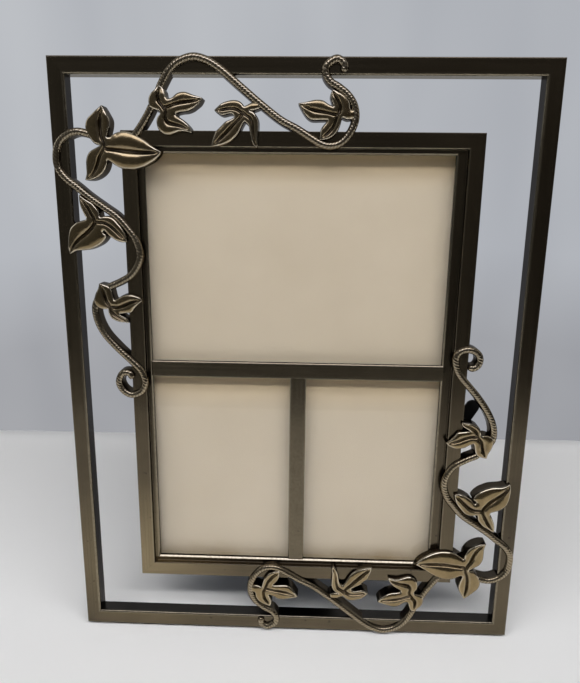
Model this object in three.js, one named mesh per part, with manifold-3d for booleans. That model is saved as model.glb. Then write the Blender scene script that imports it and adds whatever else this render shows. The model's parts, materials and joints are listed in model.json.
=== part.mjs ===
// Collage picture frame: an open outer frame of square bar, a stepped inner photo
// frame with three windows, and two vine castings soldered across both at opposite
// corners. A velvet backing board with turn buttons and an easel leg closes the back.
// Millimetres, +Z up, the glass faces -Y. The frame leans back on its easel leg.
import * as THREE from 'three';
import { mergeVertices } from 'three/addons/utils/BufferGeometryUtils.js';
import Module from 'manifold-3d';

const wasm = await Module();
wasm.setup();

// ---------------------------------------------------------------- driving sizes
// Frame-plane axes: x right, y up along the frame, z out of the front face.
const DEG = Math.PI / 180;
const LEAN = 15 * DEG;            // how far the frame leans back
const OUTER_W = 190.5;            // outer frame over its edges
const OUTER_H = 241.3;
const BAR = 6.35;                 // square outer bar
const INNER_W = 137.6;            // inner frame over its edges
const INNER_H = 189.2;
const INNER_DEPTH = 10;           // inner moulding, front to back
const BAND = 5.8;                 // raised outer band of the moulding
const SIGHT = 7.9;                // moulding edge to the window edge
const LIP_TOP = -2.4;             // front of the lower lip
const LIP_BACK = -4.3;            // back of the lip, where the glass sits
const RABBET = 4.8;               // wall outside the glass
const MITRE_GAP = 0.08;           // half the joint line at each mitre
const PANE_W = 127;               // glass, insert and board
const PANE_H = 177.8;
const GLASS_T = 2;
const INSERT_T = 0.6;
const BOARD_T = 2.4;
const GAP = 0.3;                  // clearance between stacked pieces
const DIV_W = 6.2;                // window divider width
const DIV_Y = 0.6;                // centre of the cross divider
const VINE_GAP = 0.12;            // solder line between vine and frames
const VINE_BACK = -4.2;           // castings reach this far back between the frames
const STEM_W = 2.6;               // stem width at its foot
const STEM_TOP = 1.6;             // stem height over the frame face
const LEAF_TOP = 2.0;             // leaf height over the frame face
const LOWER_VINE_TURN = 180.57;   // second vine: the same castings turned round, degrees
const LOWER_VINE_SHIFT = [-1.05, 0.35];
const CLIP_X = 66.4;              // turn button pivots, left and right
const CLIP_Y = 31;                // and above and below the middle
const CLIP_LEN = 17.4;            // pivot to the centre of the round tip
const CLIP_R = 3;
const CLIP_T = 1;
const CLIP_SHANK_R = 1.0;
const CLIP_HOLE_R = 1.08;
const OPEN_CLIP_ANGLE = 60 * DEG; // the lower right button stands swung out
const HINGE_Y = 40;               // easel hinge axis
const HINGE_Z = -13.9;
const HINGE_W = 28;
const KNUCKLE_R = 2.2;
const PIN_R = 1.0;
const PIN_HOLE_R = 1.06;
const LEAF_PLATE_T = 1;
const LEG_OPEN = 30 * DEG;        // leg angle off the back, standing
const LEG_T = 2.5;
const LEG_TOP_W = 30;
const LEG_FOOT_W = 58;

// Outlines of the three lobes of each leaf, and the stem centre lines, of one vine
// in its place at the upper left corner.
const LEAF_LOBES = {
  corner_leaf: [
    [[-76.0, 88.6], [-73.3, 91.8], [-72.2, 92.0], [-70.8, 93.1], [-68.6, 93.8], [-66.4, 93.9], [-64.1, 93.3], [-61.9, 92.3], [-59.6, 91.0], [-57.3, 89.3], [-55.1, 87.8], [-53.5, 86.9], [-54.3, 85.6], [-56.4, 83.5], [-58.8, 82.2], [-61.1, 81.2], [-63.5, 80.7], [-65.9, 80.6], [-68.2, 80.8], [-70.5, 81.7], [-72.0, 82.7], [-73.5, 83.7]],
    [[-74.8, 87.2], [-78.0, 89.3], [-78.8, 90.2], [-80.3, 92.2], [-81.2, 94.3], [-81.1, 96.3], [-80.3, 98.2], [-78.7, 99.7], [-76.7, 101.3], [-74.7, 102.8], [-73.3, 100.6], [-72.1, 98.0], [-72.2, 95.7], [-72.8, 93.5], [-73.3, 91.8]],
    [[-74.1, 89.5], [-75.9, 88.9], [-78.3, 87.8], [-80.2, 86.6], [-81.2, 85.1], [-81.7, 83.3], [-81.8, 81.1], [-81.8, 78.9], [-82.4, 76.6], [-80.1, 76.6], [-77.8, 77.4], [-75.8, 78.7], [-74.6, 80.3], [-73.8, 82.3], [-73.7, 83.7]],
  ],
  leaf_a: [
    [[-53.0, 102.2], [-49.4, 105.4], [-48.2, 105.9], [-47.0, 107.0], [-45.6, 107.7], [-43.9, 107.9], [-42.6, 107.6], [-40.5, 106.7], [-38.9, 106.3], [-37.2, 105.8], [-38.4, 103.9], [-39.8, 102.7], [-41.1, 101.8], [-43.3, 101.1], [-45.0, 100.9], [-46.9, 100.5]],
    [[-51.6, 101.3], [-53.0, 101.3], [-54.5, 101.6], [-56.3, 102.3], [-57.0, 104.5], [-56.7, 105.9], [-55.9, 107.3], [-54.5, 108.5], [-53.0, 110.0], [-51.7, 109.4], [-50.9, 108.2], [-50.7, 106.7], [-49.4, 105.4]],
    [[-52.7, 103.3], [-52.7, 100.3], [-53.9, 99.1], [-54.3, 97.8], [-54.2, 96.4], [-53.6, 95.0], [-52.6, 93.9], [-51.1, 93.1], [-49.5, 93.1], [-47.8, 93.7], [-46.1, 94.2], [-44.3, 94.3], [-41.3, 93.8], [-41.9, 95.4], [-42.9, 96.8], [-44.0, 97.9], [-45.3, 98.8], [-46.9, 99.9]],
  ],
  leaf_b: [
    [[-21.2, 101.9], [-25.1, 99.1], [-26.6, 98.4], [-28.5, 97.6], [-29.7, 96.5], [-31.0, 95.3], [-31.9, 94.4], [-32.6, 92.9], [-33.2, 91.2], [-33.7, 89.0], [-31.5, 89.1], [-29.5, 89.6], [-27.5, 90.4], [-25.8, 91.4], [-24.4, 92.9], [-23.4, 94.2], [-22.2, 96.7], [-21.4, 97.7]],
    [[-20.8, 100.9], [-21.6, 102.8], [-22.4, 104.0], [-23.5, 104.7], [-24.9, 105.0], [-26.5, 104.9], [-28.1, 104.5], [-29.3, 104.1], [-30.5, 103.3], [-32.5, 101.5], [-30.7, 100.2], [-28.5, 99.9], [-27.2, 100.2], [-25.9, 100.2], [-25.1, 99.3]],
    [[-22.6, 102.1], [-21.1, 97.4], [-20.0, 96.4], [-19.7, 94.8], [-19.4, 92.9], [-19.0, 91.2], [-18.3, 89.7], [-17.1, 88.6], [-16.6, 89.8], [-16.7, 91.9], [-16.6, 94.1], [-16.5, 96.4], [-16.6, 98.5], [-17.3, 100.0], [-18.5, 101.2], [-19.7, 101.4]],
    [[-22.4, 101.6], [-20.8, 103.0], [-18.8, 104.3], [-16.0, 104.2], [-15.9, 102.2], [-18.3, 101.5], [-20.8, 100.1]],
  ],
  leaf_c: [
    [[14.5, 100.0], [11.5, 103.1], [9.7, 104.0], [8.0, 105.1], [6.4, 105.4], [4.4, 105.3], [2.4, 104.8], [0.4, 104.4], [-1.1, 104.2], [0.0, 102.2], [1.0, 100.7], [2.2, 99.3], [3.6, 98.4], [5.3, 98.3], [7.2, 98.4], [9.7, 98.4]],
    [[13.6, 99.0], [11.5, 103.1], [10.7, 105.1], [10.3, 106.8], [11.0, 108.9], [13.0, 108.1], [15.0, 107.1], [16.4, 106.0], [17.2, 104.5], [17.5, 102.3], [16.5, 100.3], [15.2, 99.7]],
    [[14.0, 101.3], [9.7, 98.4], [8.2, 96.9], [7.3, 95.5], [6.8, 93.7], [6.8, 91.5], [9.8, 92.0], [11.6, 93.0], [13.0, 94.7], [14.1, 96.9], [14.7, 99.3]],
    [[13.2, 100.7], [16.9, 102.3], [19.4, 102.1], [19.5, 99.2], [16.6, 98.7], [13.8, 99.3]],
  ],
  leaf_d: [
    [[-79.3, 61.6], [-83.6, 61.2], [-85.6, 60.7], [-87.1, 60.3], [-88.4, 59.2], [-89.7, 58.0], [-90.5, 55.9], [-90.8, 53.2], [-90.8, 50.4], [-90.5, 48.1], [-88.8, 49.0], [-86.9, 49.6], [-84.7, 49.7], [-82.5, 50.1], [-80.1, 51.0], [-78.2, 52.3], [-76.5, 53.9], [-75.9, 55.4], [-77.2, 56.5]],
    [[-79.4, 59.6], [-83.2, 61.7], [-83.9, 62.8], [-84.5, 64.3], [-85.1, 66.1], [-85.5, 68.1], [-85.6, 70.3], [-84.0, 69.3], [-82.4, 68.3], [-80.9, 67.5], [-79.5, 66.1], [-78.3, 64.4], [-78.0, 62.2]],
    [[-81.1, 61.3], [-77.9, 62.2], [-76.0, 62.6], [-74.0, 62.4], [-72.5, 61.5], [-71.2, 60.0], [-69.9, 58.2], [-68.8, 56.4], [-68.1, 53.2], [-70.0, 52.9], [-71.8, 53.3], [-73.7, 54.3], [-75.5, 55.6], [-76.6, 57.3], [-78.1, 58.8]],
  ],
  leaf_e: [
    [[-77.0, 26.6], [-74.0, 29.9], [-72.4, 30.6], [-70.8, 31.6], [-69.2, 31.9], [-67.2, 32.0], [-65.6, 31.5], [-64.0, 30.8], [-63.2, 29.6], [-64.9, 27.9], [-66.5, 26.4], [-67.6, 24.9], [-69.1, 24.7], [-71.2, 24.4], [-72.7, 24.5], [-74.3, 24.3]],
    [[-75.4, 25.7], [-76.7, 26.2], [-78.9, 26.1], [-80.7, 26.7], [-82.0, 28.0], [-82.1, 30.0], [-81.2, 32.3], [-80.1, 34.4], [-79.7, 36.1], [-77.9, 35.8], [-75.9, 35.0], [-75.0, 33.9], [-74.7, 32.1], [-73.9, 29.9]],
    [[-76.8, 27.6], [-76.6, 24.7], [-76.1, 23.2], [-73.9, 21.6], [-72.1, 21.1], [-70.6, 21.0], [-68.9, 20.8], [-69.1, 22.3], [-70.4, 23.1], [-71.7, 23.9], [-72.7, 25.0]],
  ],
};

const STEM_ACROSS = [[-64.5, 91.2], [-61.7, 94.6], [-57.7, 100.5], [-51.9, 111.8], [-49.5, 115.5], [-45.9, 118.5], [-40.5, 120.2], [-35.7, 119.2], [-31.0, 116.6], [-23.3, 110.4], [-15.5, 104.1], [-7.7, 98.4], [-1.8, 95.4], [3.7, 92.1], [7.7, 90.0], [10.9, 89.5], [14.4, 90.4], [17.9, 94.0], [19.9, 98.9], [19.3, 103.7], [17.0, 107.2], [13.5, 110.0], [10.3, 111.9], [8.6, 114.4], [8.6, 117.1], [10.5, 118.9], [12.5, 119.7], [14.6, 118.6], [15.4, 117.1], [14.7, 115.2]];
const STEM_DOWN = [[-78.3, 92.2], [-81.2, 93.2], [-85.4, 93.9], [-89.5, 92.5], [-92.6, 89.5], [-93.8, 85.3], [-93.5, 80.9], [-91.0, 77.1], [-86.8, 73.7], [-82.8, 70.4], [-77.3, 66.5], [-71.8, 62.6], [-67.7, 58.0], [-64.7, 53.8], [-63.3, 48.8], [-64.0, 44.5], [-67.1, 39.8], [-71.6, 37.0], [-76.4, 34.7], [-80.5, 31.2], [-82.3, 26.6], [-81.8, 21.5], [-79.2, 15.7], [-74.4, 10.0], [-68.8, 4.5], [-64.9, 0.3], [-63.4, -4.4], [-65.3, -8.8], [-69.6, -10.1], [-72.9, -8.1], [-74.3, -4.6], [-72.6, -0.9], [-69.7, -0.9], [-68.6, -3.2]];

// ---------------------------------------------------------------- helpers
const metal = (color, roughness) => new THREE.MeshStandardMaterial({ color, roughness, metalness: 1 });
const plain = (color, roughness) => new THREE.MeshStandardMaterial({ color, roughness, metalness: 0 });

function solid(geometry) {
  let g = geometry.clone();
  g.deleteAttribute('normal');
  g.deleteAttribute('uv');
  g = mergeVertices(g, 1e-4);
  return new wasm.Manifold(new wasm.Mesh({
    numProp: 3,
    vertProperties: new Float32Array(g.attributes.position.array),
    triVerts: new Uint32Array(g.index.array),
  }));
}

function shaped(body) {
  const m = body.getMesh();
  const g = new THREE.BufferGeometry();
  g.setAttribute('position', new THREE.BufferAttribute(new Float32Array(m.vertProperties), 3));
  g.setIndex(new THREE.BufferAttribute(new Uint32Array(m.triVerts), 1));
  g.computeVertexNormals();
  return g;
}

const largest = (body) => body.decompose().sort((a, b) => b.volume() - a.volume())[0];
const shapeOf = (points) => new THREE.Shape(points.map(([x, y]) => new THREE.Vector2(x, y)));

// A flat plate of the given outline between two heights.
function plate(points, z0, z1) {
  const g = new THREE.ExtrudeGeometry(shapeOf(points), { depth: z1 - z0, bevelEnabled: false });
  g.translate(0, 0, z0);
  return g;
}

function block(x0, x1, y0, y1, z0, z1) {
  const g = new THREE.BoxGeometry(x1 - x0, y1 - y0, z1 - z0);
  g.translate((x0 + x1) / 2, (y0 + y1) / 2, (z0 + z1) / 2);
  return g;
}

// A round bar along z, or along x.
function roundZ(x, y, z0, z1, r, sides = 16) {
  const g = new THREE.CylinderGeometry(r, r, z1 - z0, sides);
  g.rotateX(Math.PI / 2);
  g.translate(x, y, (z0 + z1) / 2);
  return g;
}
function roundX(x0, x1, y, z, r, sides = 24) {
  const g = new THREE.CylinderGeometry(r, r, x1 - x0, sides);
  g.rotateZ(Math.PI / 2);
  g.translate((x0 + x1) / 2, y, z);
  return g;
}

function add(parent, name, geometry, material) {
  const mesh = new THREE.Mesh(geometry, material);
  mesh.name = name;
  parent.add(mesh);
  return mesh;
}

const frame = new THREE.Group();
const leaning = new THREE.Group();
leaning.rotation.x = Math.PI / 2 - LEAN;
frame.add(leaning);

// ---------------------------------------------------------------- mitred bars
// profile: [inset from the outer edge, z]; the bar lies along the top edge of a
// frame of half size (halfW, halfH), and is turned for the other three sides.
function mitredBar(profile, halfLength, halfSide) {
  const length = 2 * halfLength + 4;
  const g = new THREE.ExtrudeGeometry(shapeOf(profile), { depth: length, bevelEnabled: false });
  g.applyMatrix4(new THREE.Matrix4().set(
    0, 0, -1, length / 2,
    -1, 0, 0, halfSide,
    0, 1, 0, 0,
    0, 0, 0, 1,
  ));
  const cut = halfLength - MITRE_GAP * Math.SQRT2;
  const wedge = plate([
    [-(cut + 1), halfSide + 1], [-(cut - 20), halfSide - 20],
    [cut - 20, halfSide - 20], [cut + 1, halfSide + 1],
  ], -30, 10);
  return solid(g).intersect(solid(wedge));
}
const turned = (geometry, angle) => geometry.rotateZ(angle);

const OUTER_PROFILE = [[0, 0], [0, -BAR], [BAR, -BAR], [BAR, 0]];
const barBronze = () => metal(0x4b4335, 0.42);
const outerRail = () => shaped(mitredBar(OUTER_PROFILE, OUTER_W / 2, OUTER_H / 2));
const outerStile = () => shaped(mitredBar(OUTER_PROFILE, OUTER_H / 2, OUTER_W / 2));
add(leaning, 'outer_rail_top', outerRail(), barBronze());
add(leaning, 'outer_rail_bottom', turned(outerRail(), Math.PI), barBronze());
add(leaning, 'outer_stile_left', turned(outerStile(), Math.PI / 2), barBronze());
add(leaning, 'outer_stile_right', turned(outerStile(), -Math.PI / 2), barBronze());

const INNER_PROFILE = [
  [0, 0], [0, -INNER_DEPTH], [RABBET, -INNER_DEPTH], [RABBET, LIP_BACK], [SIGHT, LIP_BACK],
  [SIGHT, LIP_TOP - 0.4], [SIGHT - 0.4, LIP_TOP], [BAND, LIP_TOP], [BAND, -0.2], [BAND - 0.2, 0],
];
const innerRail = () => shaped(mitredBar(INNER_PROFILE, INNER_W / 2, INNER_H / 2));
add(leaning, 'inner_rail_top', innerRail(), barBronze());
add(leaning, 'inner_rail_bottom', turned(innerRail(), Math.PI), barBronze());
// The stiles carry the rivets of the turn buttons.
for (const [side, sign] of [['left', -1], ['right', 1]]) {
  const turn = -sign * Math.PI / 2;
  let stile = solid(turned(shaped(mitredBar(INNER_PROFILE, INNER_H / 2, INNER_W / 2)), turn));
  for (const y of [CLIP_Y, -CLIP_Y]) {
    stile = stile.subtract(solid(roundZ(sign * CLIP_X, y, -INNER_DEPTH - 1, -INNER_DEPTH + 2.9, CLIP_SHANK_R + 0.2)));
  }
  add(leaning, `inner_stile_${side}`, shaped(stile), barBronze());
}

// ---------------------------------------------------------------- window dividers
const sightX = INNER_W / 2 - SIGHT;
const sightY = INNER_H / 2 - SIGHT;
const divSection = [
  [-DIV_W / 2, LIP_BACK], [DIV_W / 2, LIP_BACK], [DIV_W / 2, LIP_TOP - 0.4],
  [DIV_W / 2 - 0.4, LIP_TOP], [-DIV_W / 2 + 0.4, LIP_TOP], [-DIV_W / 2, LIP_TOP - 0.4],
];
{
  const width = 2 * (sightX - 0.15);
  const g = new THREE.ExtrudeGeometry(shapeOf(divSection), { depth: width, bevelEnabled: false });
  g.applyMatrix4(new THREE.Matrix4().set(0, 0, 1, -width / 2, 1, 0, 0, DIV_Y, 0, 1, 0, 0, 0, 0, 0, 1));
  add(leaning, 'divider_horizontal', g, barBronze());
  const top = DIV_Y - DIV_W / 2 - 0.15;
  const foot = -sightY + 0.15;
  const v = new THREE.ExtrudeGeometry(shapeOf(divSection), { depth: top - foot, bevelEnabled: false });
  v.applyMatrix4(new THREE.Matrix4().set(1, 0, 0, 0, 0, 0, -1, top, 0, 1, 0, 0, 0, 0, 0, 1));
  add(leaning, 'divider_vertical', v, barBronze());
}

// ---------------------------------------------------------------- glass, insert, board
const glassFront = LIP_BACK - GAP;
const insertFront = glassFront - GLASS_T - 0.2;
const boardFront = insertFront - INSERT_T - 0.2;
const boardBack = boardFront - BOARD_T;
add(leaning, 'glass_pane', block(-PANE_W / 2, PANE_W / 2, -PANE_H / 2, PANE_H / 2, glassFront - GLASS_T, glassFront),
  new THREE.MeshStandardMaterial({ color: 0xf2f5f2, roughness: 0.05, metalness: 0, transparent: true, opacity: 0.3 }));
add(leaning, 'display_insert', block(-PANE_W / 2, PANE_W / 2, -PANE_H / 2, PANE_H / 2, insertFront - INSERT_T, insertFront), plain(0xbfb299, 0.8));

// ---------------------------------------------------------------- easel hinge and board
const plateBack = boardBack - GAP - LEAF_PLATE_T;
const HINGE_RIVETS = [[-9, HINGE_Y + 16], [9, HINGE_Y + 16]];
let board = solid(block(-PANE_W / 2 + 0.25, PANE_W / 2 - 0.25, -PANE_H / 2 + 0.25, PANE_H / 2 - 0.25, boardBack, boardFront));
let fixedLeaf = solid(block(-HINGE_W / 2, HINGE_W / 2, HINGE_Y + 1.2, HINGE_Y + 22, plateBack, plateBack + LEAF_PLATE_T));
for (const [x0, x1] of [[-HINGE_W / 2, -5], [5, HINGE_W / 2]]) {
  fixedLeaf = fixedLeaf.add(solid(roundX(x0, x1, HINGE_Y, HINGE_Z, KNUCKLE_R)));
  fixedLeaf = fixedLeaf.add(solid(block(x0, x1, HINGE_Y + 1.2, HINGE_Y + KNUCKLE_R, HINGE_Z, plateBack + 0.5)));
}
fixedLeaf = fixedLeaf.subtract(solid(roundX(-20, 20, HINGE_Y, HINGE_Z, PIN_HOLE_R)));
HINGE_RIVETS.forEach(([x, y], i) => {
  const side = i ? 'right' : 'left';
  fixedLeaf = fixedLeaf.subtract(solid(roundZ(x, y, plateBack - 1, plateBack + LEAF_PLATE_T + 1, 1.2)));
  board = board.subtract(solid(roundZ(x, y, boardBack - 1, boardFront - 0.6, 1.2)));
  const rivet = new THREE.LatheGeometry([
    [0, 0.9], [1.2, 0.7], [2.0, 0.25], [2.0, 0.02], [1.0, 0.02], [1.0, -2.9], [0, -2.9],
  ].map(([r, h]) => new THREE.Vector2(r, -h)), 14);
  rivet.rotateX(Math.PI / 2);
  rivet.translate(x, y, plateBack - 0.1);
  add(leaning, `hinge_rivet_${side}`, shaped(solid(rivet)), metal(0x8c8578, 0.4));
});
add(leaning, 'backing_board', shaped(board), plain(0x0d0d0e, 0.95));
add(leaning, 'hinge_leaf_fixed', shaped(fixedLeaf), metal(0x8f8a80, 0.38));
{
  const pin = solid(roundX(-HINGE_W / 2 - 0.4, HINGE_W / 2 + 0.4, HINGE_Y, HINGE_Z, PIN_R))
    .add(solid(roundX(-HINGE_W / 2 - 1.0, -HINGE_W / 2 - 0.2, HINGE_Y, HINGE_Z, 1.7)))
    .add(solid(roundX(HINGE_W / 2 + 0.2, HINGE_W / 2 + 1.0, HINGE_Y, HINGE_Z, 1.7)));
  add(leaning, 'hinge_pin', shaped(pin), metal(0x9a958b, 0.35));
}

// ---------------------------------------------------------------- easel leg
// Drawn folded flat on the back, about the hinge axis, then swung open.
const leg = new THREE.Group();
leg.position.set(0, HINGE_Y, HINGE_Z);
leg.rotation.x = LEG_OPEN;
leaning.add(leg);
{
  const legIn = boardBack - 0.6 - HINGE_Z;         // face towards the board when folded
  const legOut = legIn - LEG_T;
  const tilt = LEG_OPEN - LEAN;
  const floor = OUTER_H / 2 * Math.cos(LEAN) + BAR * Math.sin(LEAN);
  const reach = HINGE_Y * Math.cos(LEAN) + HINGE_Z * Math.sin(LEAN) + floor;
  const half = LEG_TOP_W / 2;
  const foot = LEG_FOOT_W / 2;
  let strut = solid(plate([
    [-half + 3, -5], [-half, -8], [-foot, -168], [foot, -168], [half, -8], [half - 3, -5],
  ], legOut, legIn));
  const ground = new THREE.BoxGeometry(200, 100, 100);
  ground.rotateX(-tilt);
  ground.translate(0, -(reach + 50) * Math.cos(tilt), (reach + 50) * Math.sin(tilt));
  strut = strut.subtract(solid(ground));
  const plateIn = legOut - GAP;
  let leaf = solid(block(-12, 12, -24, -3, plateIn - LEAF_PLATE_T, plateIn))
    .add(solid(block(-4.7, 4.7, -4, 0, plateIn - LEAF_PLATE_T, plateIn)))
    .add(solid(roundX(-4.7, 4.7, 0, 0, KNUCKLE_R)));
  // Stop heel: meets the fixed leaf when the leg stands open.
  const heel = block(-4, 4, 1, 5, -0.5, 0.5);
  heel.rotateX(-8 * DEG);
  leaf = leaf.add(solid(heel)).subtract(solid(roundX(-20, 20, 0, 0, PIN_HOLE_R)));
  for (const [i, x] of [-8, 8].entries()) {
    const y = -18;
    leaf = leaf.subtract(solid(roundZ(x, y, plateIn - 3, plateIn + 1, 1.2)));
    strut = strut.subtract(solid(roundZ(x, y, legOut - 1, legIn - 0.5, 1.2)));
    const rivet = new THREE.LatheGeometry([
      [0, 0.9], [1.2, 0.7], [2.0, 0.25], [2.0, 0.02], [1.0, 0.02], [1.0, -2.9], [0, -2.9],
    ].map(([r, h]) => new THREE.Vector2(r, -h)), 14);
    rivet.rotateX(Math.PI / 2);
    rivet.translate(x, y, plateIn - LEAF_PLATE_T - 0.1);
    add(leg, `leg_rivet_${i ? 'right' : 'left'}`, shaped(solid(rivet)), metal(0x8c8578, 0.4));
  }
  add(leg, 'easel_leg', shaped(strut), plain(0x0d0d0e, 0.95));
  add(leg, 'hinge_leaf_moving', shaped(leaf), metal(0x8f8a80, 0.38));
}

// ---------------------------------------------------------------- turn buttons
for (const [side, sx] of [['left', -1], ['right', 1]]) {
  for (const [level, sy] of [['upper', 1], ['lower', -1]]) {
    const button = new THREE.Group();
    button.position.set(sx * CLIP_X, sy * CLIP_Y, -INNER_DEPTH - GAP);
    const open = sx > 0 && sy < 0;
    button.rotation.z = open ? OPEN_CLIP_ANGLE : (sx > 0 ? Math.PI : 0);
    leaning.add(button);
    const outline = new THREE.Shape();
    outline.absarc(0, 0, CLIP_R, Math.PI / 2, 1.5 * Math.PI, false);
    outline.absarc(CLIP_LEN, 0, CLIP_R, -Math.PI / 2, Math.PI / 2, false);
    const g = new THREE.ExtrudeGeometry(outline, { depth: CLIP_T, bevelEnabled: false, curveSegments: 7 });
    g.translate(0, 0, -CLIP_T);
    const body = solid(g).subtract(solid(roundZ(0, 0, -CLIP_T - 1, 1, CLIP_HOLE_R)));
    add(button, `turn_button_${side}_${level}`, shaped(body), metal(0x141415, 0.45));
    const rivet = new THREE.LatheGeometry([
      [0, 0.8], [1.3, 0.6], [2.2, 0.2], [2.2, 0.0], [1.0, 0.0], [1.0, -3.9], [0, -3.9],
    ].map(([r, h]) => new THREE.Vector2(r, -h)), 16);
    rivet.rotateX(Math.PI / 2);
    rivet.translate(sx * CLIP_X, sy * CLIP_Y, -INNER_DEPTH - GAP - CLIP_T - 0.12);
    add(leaning, `turn_button_rivet_${side}_${level}`, shaped(solid(rivet)), metal(0x1b1b1c, 0.4));
  }
}

// ---------------------------------------------------------------- vines
const vineBrass = () => metal(0x6f604a, 0.36);
const stemShape = (up) => shapeOf([
  [VINE_BACK, -STEM_W / 2], [STEM_TOP - 0.9, -STEM_W / 2 + 0.05], [STEM_TOP, -0.55],
  [STEM_TOP, 0.55], [STEM_TOP - 0.9, STEM_W / 2 - 0.05], [VINE_BACK, STEM_W / 2],
].map(([h, w]) => [up * h, w]));
const fatShape = (up) => shapeOf([
  [VINE_BACK - 1, -STEM_W / 2 - 0.15], [STEM_TOP + 3, -STEM_W / 2 - 0.15], [STEM_TOP + 3, STEM_W / 2 + 0.15], [VINE_BACK - 1, STEM_W / 2 + 0.15],
].map(([h, w]) => [up * h, w]));

function sweep(points, section, steps) {
  const path = new THREE.CatmullRomCurve3(points.map(([x, y]) => new THREE.Vector3(x, y, 0)), false, 'centripetal');
  const up = Math.sign(path.computeFrenetFrames(4, false).normals[0].z);
  return solid(new THREE.ExtrudeGeometry(section(up), { steps, bevelEnabled: false, extrudePath: path }));
}

const STEPS_ACROSS = 48;
const STEPS_DOWN = 54;
const stems = {
  stem_across: sweep(STEM_ACROSS, stemShape, STEPS_ACROSS),
  stem_down: sweep(STEM_DOWN, stemShape, STEPS_DOWN),
};
const clear = [sweep(STEM_ACROSS, fatShape, STEPS_ACROSS), sweep(STEM_DOWN, fatShape, STEPS_DOWN)];
const vineParts = { ...stems };
for (const [name, lobes] of Object.entries(LEAF_LOBES)) {
  let leaf = null;
  for (const outline of lobes) {
    const lobe = solid(plate(outline, VINE_BACK, LEAF_TOP));
    leaf = leaf ? leaf.add(lobe) : lobe;
  }
  for (const stem of clear) leaf = leaf.subtract(stem);
  vineParts[name] = largest(leaf);
}
// Every casting lies over the faces of the bars it crosses, and fills the space
// between the two frames as far back as VINE_BACK.
const rect = (w, h) => wasm.CrossSection.square([w, h], true);
const between = rect(OUTER_W - 2 * (BAR + VINE_GAP), OUTER_H - 2 * (BAR + VINE_GAP))
  .subtract(rect(INNER_W + 2 * VINE_GAP, INNER_H + 2 * VINE_GAP));
function notched(body) {
  const over = body.trimByPlane([0, 0, 1], VINE_GAP);
  const foot = body.project().intersect(between).offset(-0.5, 'Miter').offset(0.5, 'Miter').intersect(between).simplify(0.01);
  if (foot.area() < 0.5) return over;
  return largest(over.add(foot.extrude(VINE_GAP + 0.02 - VINE_BACK).translate([0, 0, VINE_BACK])));
}
for (const [which, turn, shift] of [['upper_vine', 0, [0, 0]], ['lower_vine', LOWER_VINE_TURN, LOWER_VINE_SHIFT]]) {
  for (const [name, body] of Object.entries(vineParts)) {
    const placed = body.rotate([0, 0, turn]).translate([shift[0], shift[1], 0]);
    add(leaning, `${which}_${name}`, shaped(notched(placed)), vineBrass());
  }
}

// ---------------------------------------------------------------- origin
// On the standing surface, under the middle of the whole object.
frame.updateMatrixWorld(true);
const box = new THREE.Box3().setFromObject(frame, true);
frame.position.set(-(box.min.x + box.max.x) / 2, -(box.min.y + box.max.y) / 2, -box.min.z);

export default frame;
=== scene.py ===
# Looks for the collage picture frame: mitred bronze bars, a stepped photo frame with
# three windows behind glass, and two cast vines with lobed leaves at opposite corners.
import json
import math
import bpy
import bmesh
import numpy as np
from mathutils import Matrix, Vector, noise
from mathutils.geometry import delaunay_2d_cdt

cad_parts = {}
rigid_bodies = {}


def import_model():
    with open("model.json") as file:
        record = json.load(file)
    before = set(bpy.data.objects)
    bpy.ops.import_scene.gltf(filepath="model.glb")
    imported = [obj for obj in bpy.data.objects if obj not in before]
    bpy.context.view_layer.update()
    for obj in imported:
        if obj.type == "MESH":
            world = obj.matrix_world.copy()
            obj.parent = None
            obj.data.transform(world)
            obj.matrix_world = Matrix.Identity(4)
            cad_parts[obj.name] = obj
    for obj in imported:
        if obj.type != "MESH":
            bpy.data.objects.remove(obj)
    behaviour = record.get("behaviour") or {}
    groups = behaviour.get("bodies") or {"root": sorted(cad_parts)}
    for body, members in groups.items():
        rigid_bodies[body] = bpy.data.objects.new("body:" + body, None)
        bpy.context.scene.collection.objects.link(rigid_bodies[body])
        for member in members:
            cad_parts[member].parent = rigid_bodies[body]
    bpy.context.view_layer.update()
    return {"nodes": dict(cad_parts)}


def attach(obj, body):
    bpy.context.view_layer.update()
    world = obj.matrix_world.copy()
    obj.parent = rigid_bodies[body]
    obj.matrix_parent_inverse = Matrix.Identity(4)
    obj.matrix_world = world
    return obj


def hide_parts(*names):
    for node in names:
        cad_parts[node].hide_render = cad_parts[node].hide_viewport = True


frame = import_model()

NODES = frame["nodes"]
scene = bpy.context.scene
rng = np.random.default_rng(7)

# ------------------------------------------------------------------ frame-plane axes
# Millimetres in the plane of the leaning frame: x right, y up along it, z out of it.
ORIGIN = np.array([0.0, -0.015699237, 0.118182456])
C15, S15 = math.cos(math.radians(15)), math.sin(math.radians(15))
TO_WORLD = np.array([[1, 0, 0], [0, S15, -C15], [0, C15, S15]])


def world(p):
    return ORIGIN + (np.asarray(p, float) * 0.001) @ TO_WORLD.T


# ------------------------------------------------------------------ sizes, as in the part
OUTER_W, OUTER_H, BAR = 190.5, 241.3, 6.35
INNER_W, INNER_H, INNER_DEPTH = 137.6, 189.2, 10.0
BAND, SIGHT, LIP_TOP, LIP_BACK, RABBET = 5.8, 7.9, -2.4, -4.3, 4.8
DIV_W, DIV_Y = 6.2, 0.6
PANE_W, PANE_H = 127.0, 177.8
BOARD_FRONT, BOARD_BACK = -7.6, -10.0
STEM_TOP, LEAF_TOP, VINE_FOOT, VINE_BACK = 1.6, 2.0, 0.12, -4.2
LOWER_TURN, LOWER_SHIFT = math.radians(180.57), (-1.05, 0.35)
HINGE_Y, HINGE_Z, HINGE_W = 40.0, -13.9, 28.0
LEG_OPEN = math.radians(30)
CLIP_X, CLIP_Y, CLIP_LEN, CLIP_R, CLIP_T = 66.4, 31.0, 17.4, 3.0, 1.0

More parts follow.
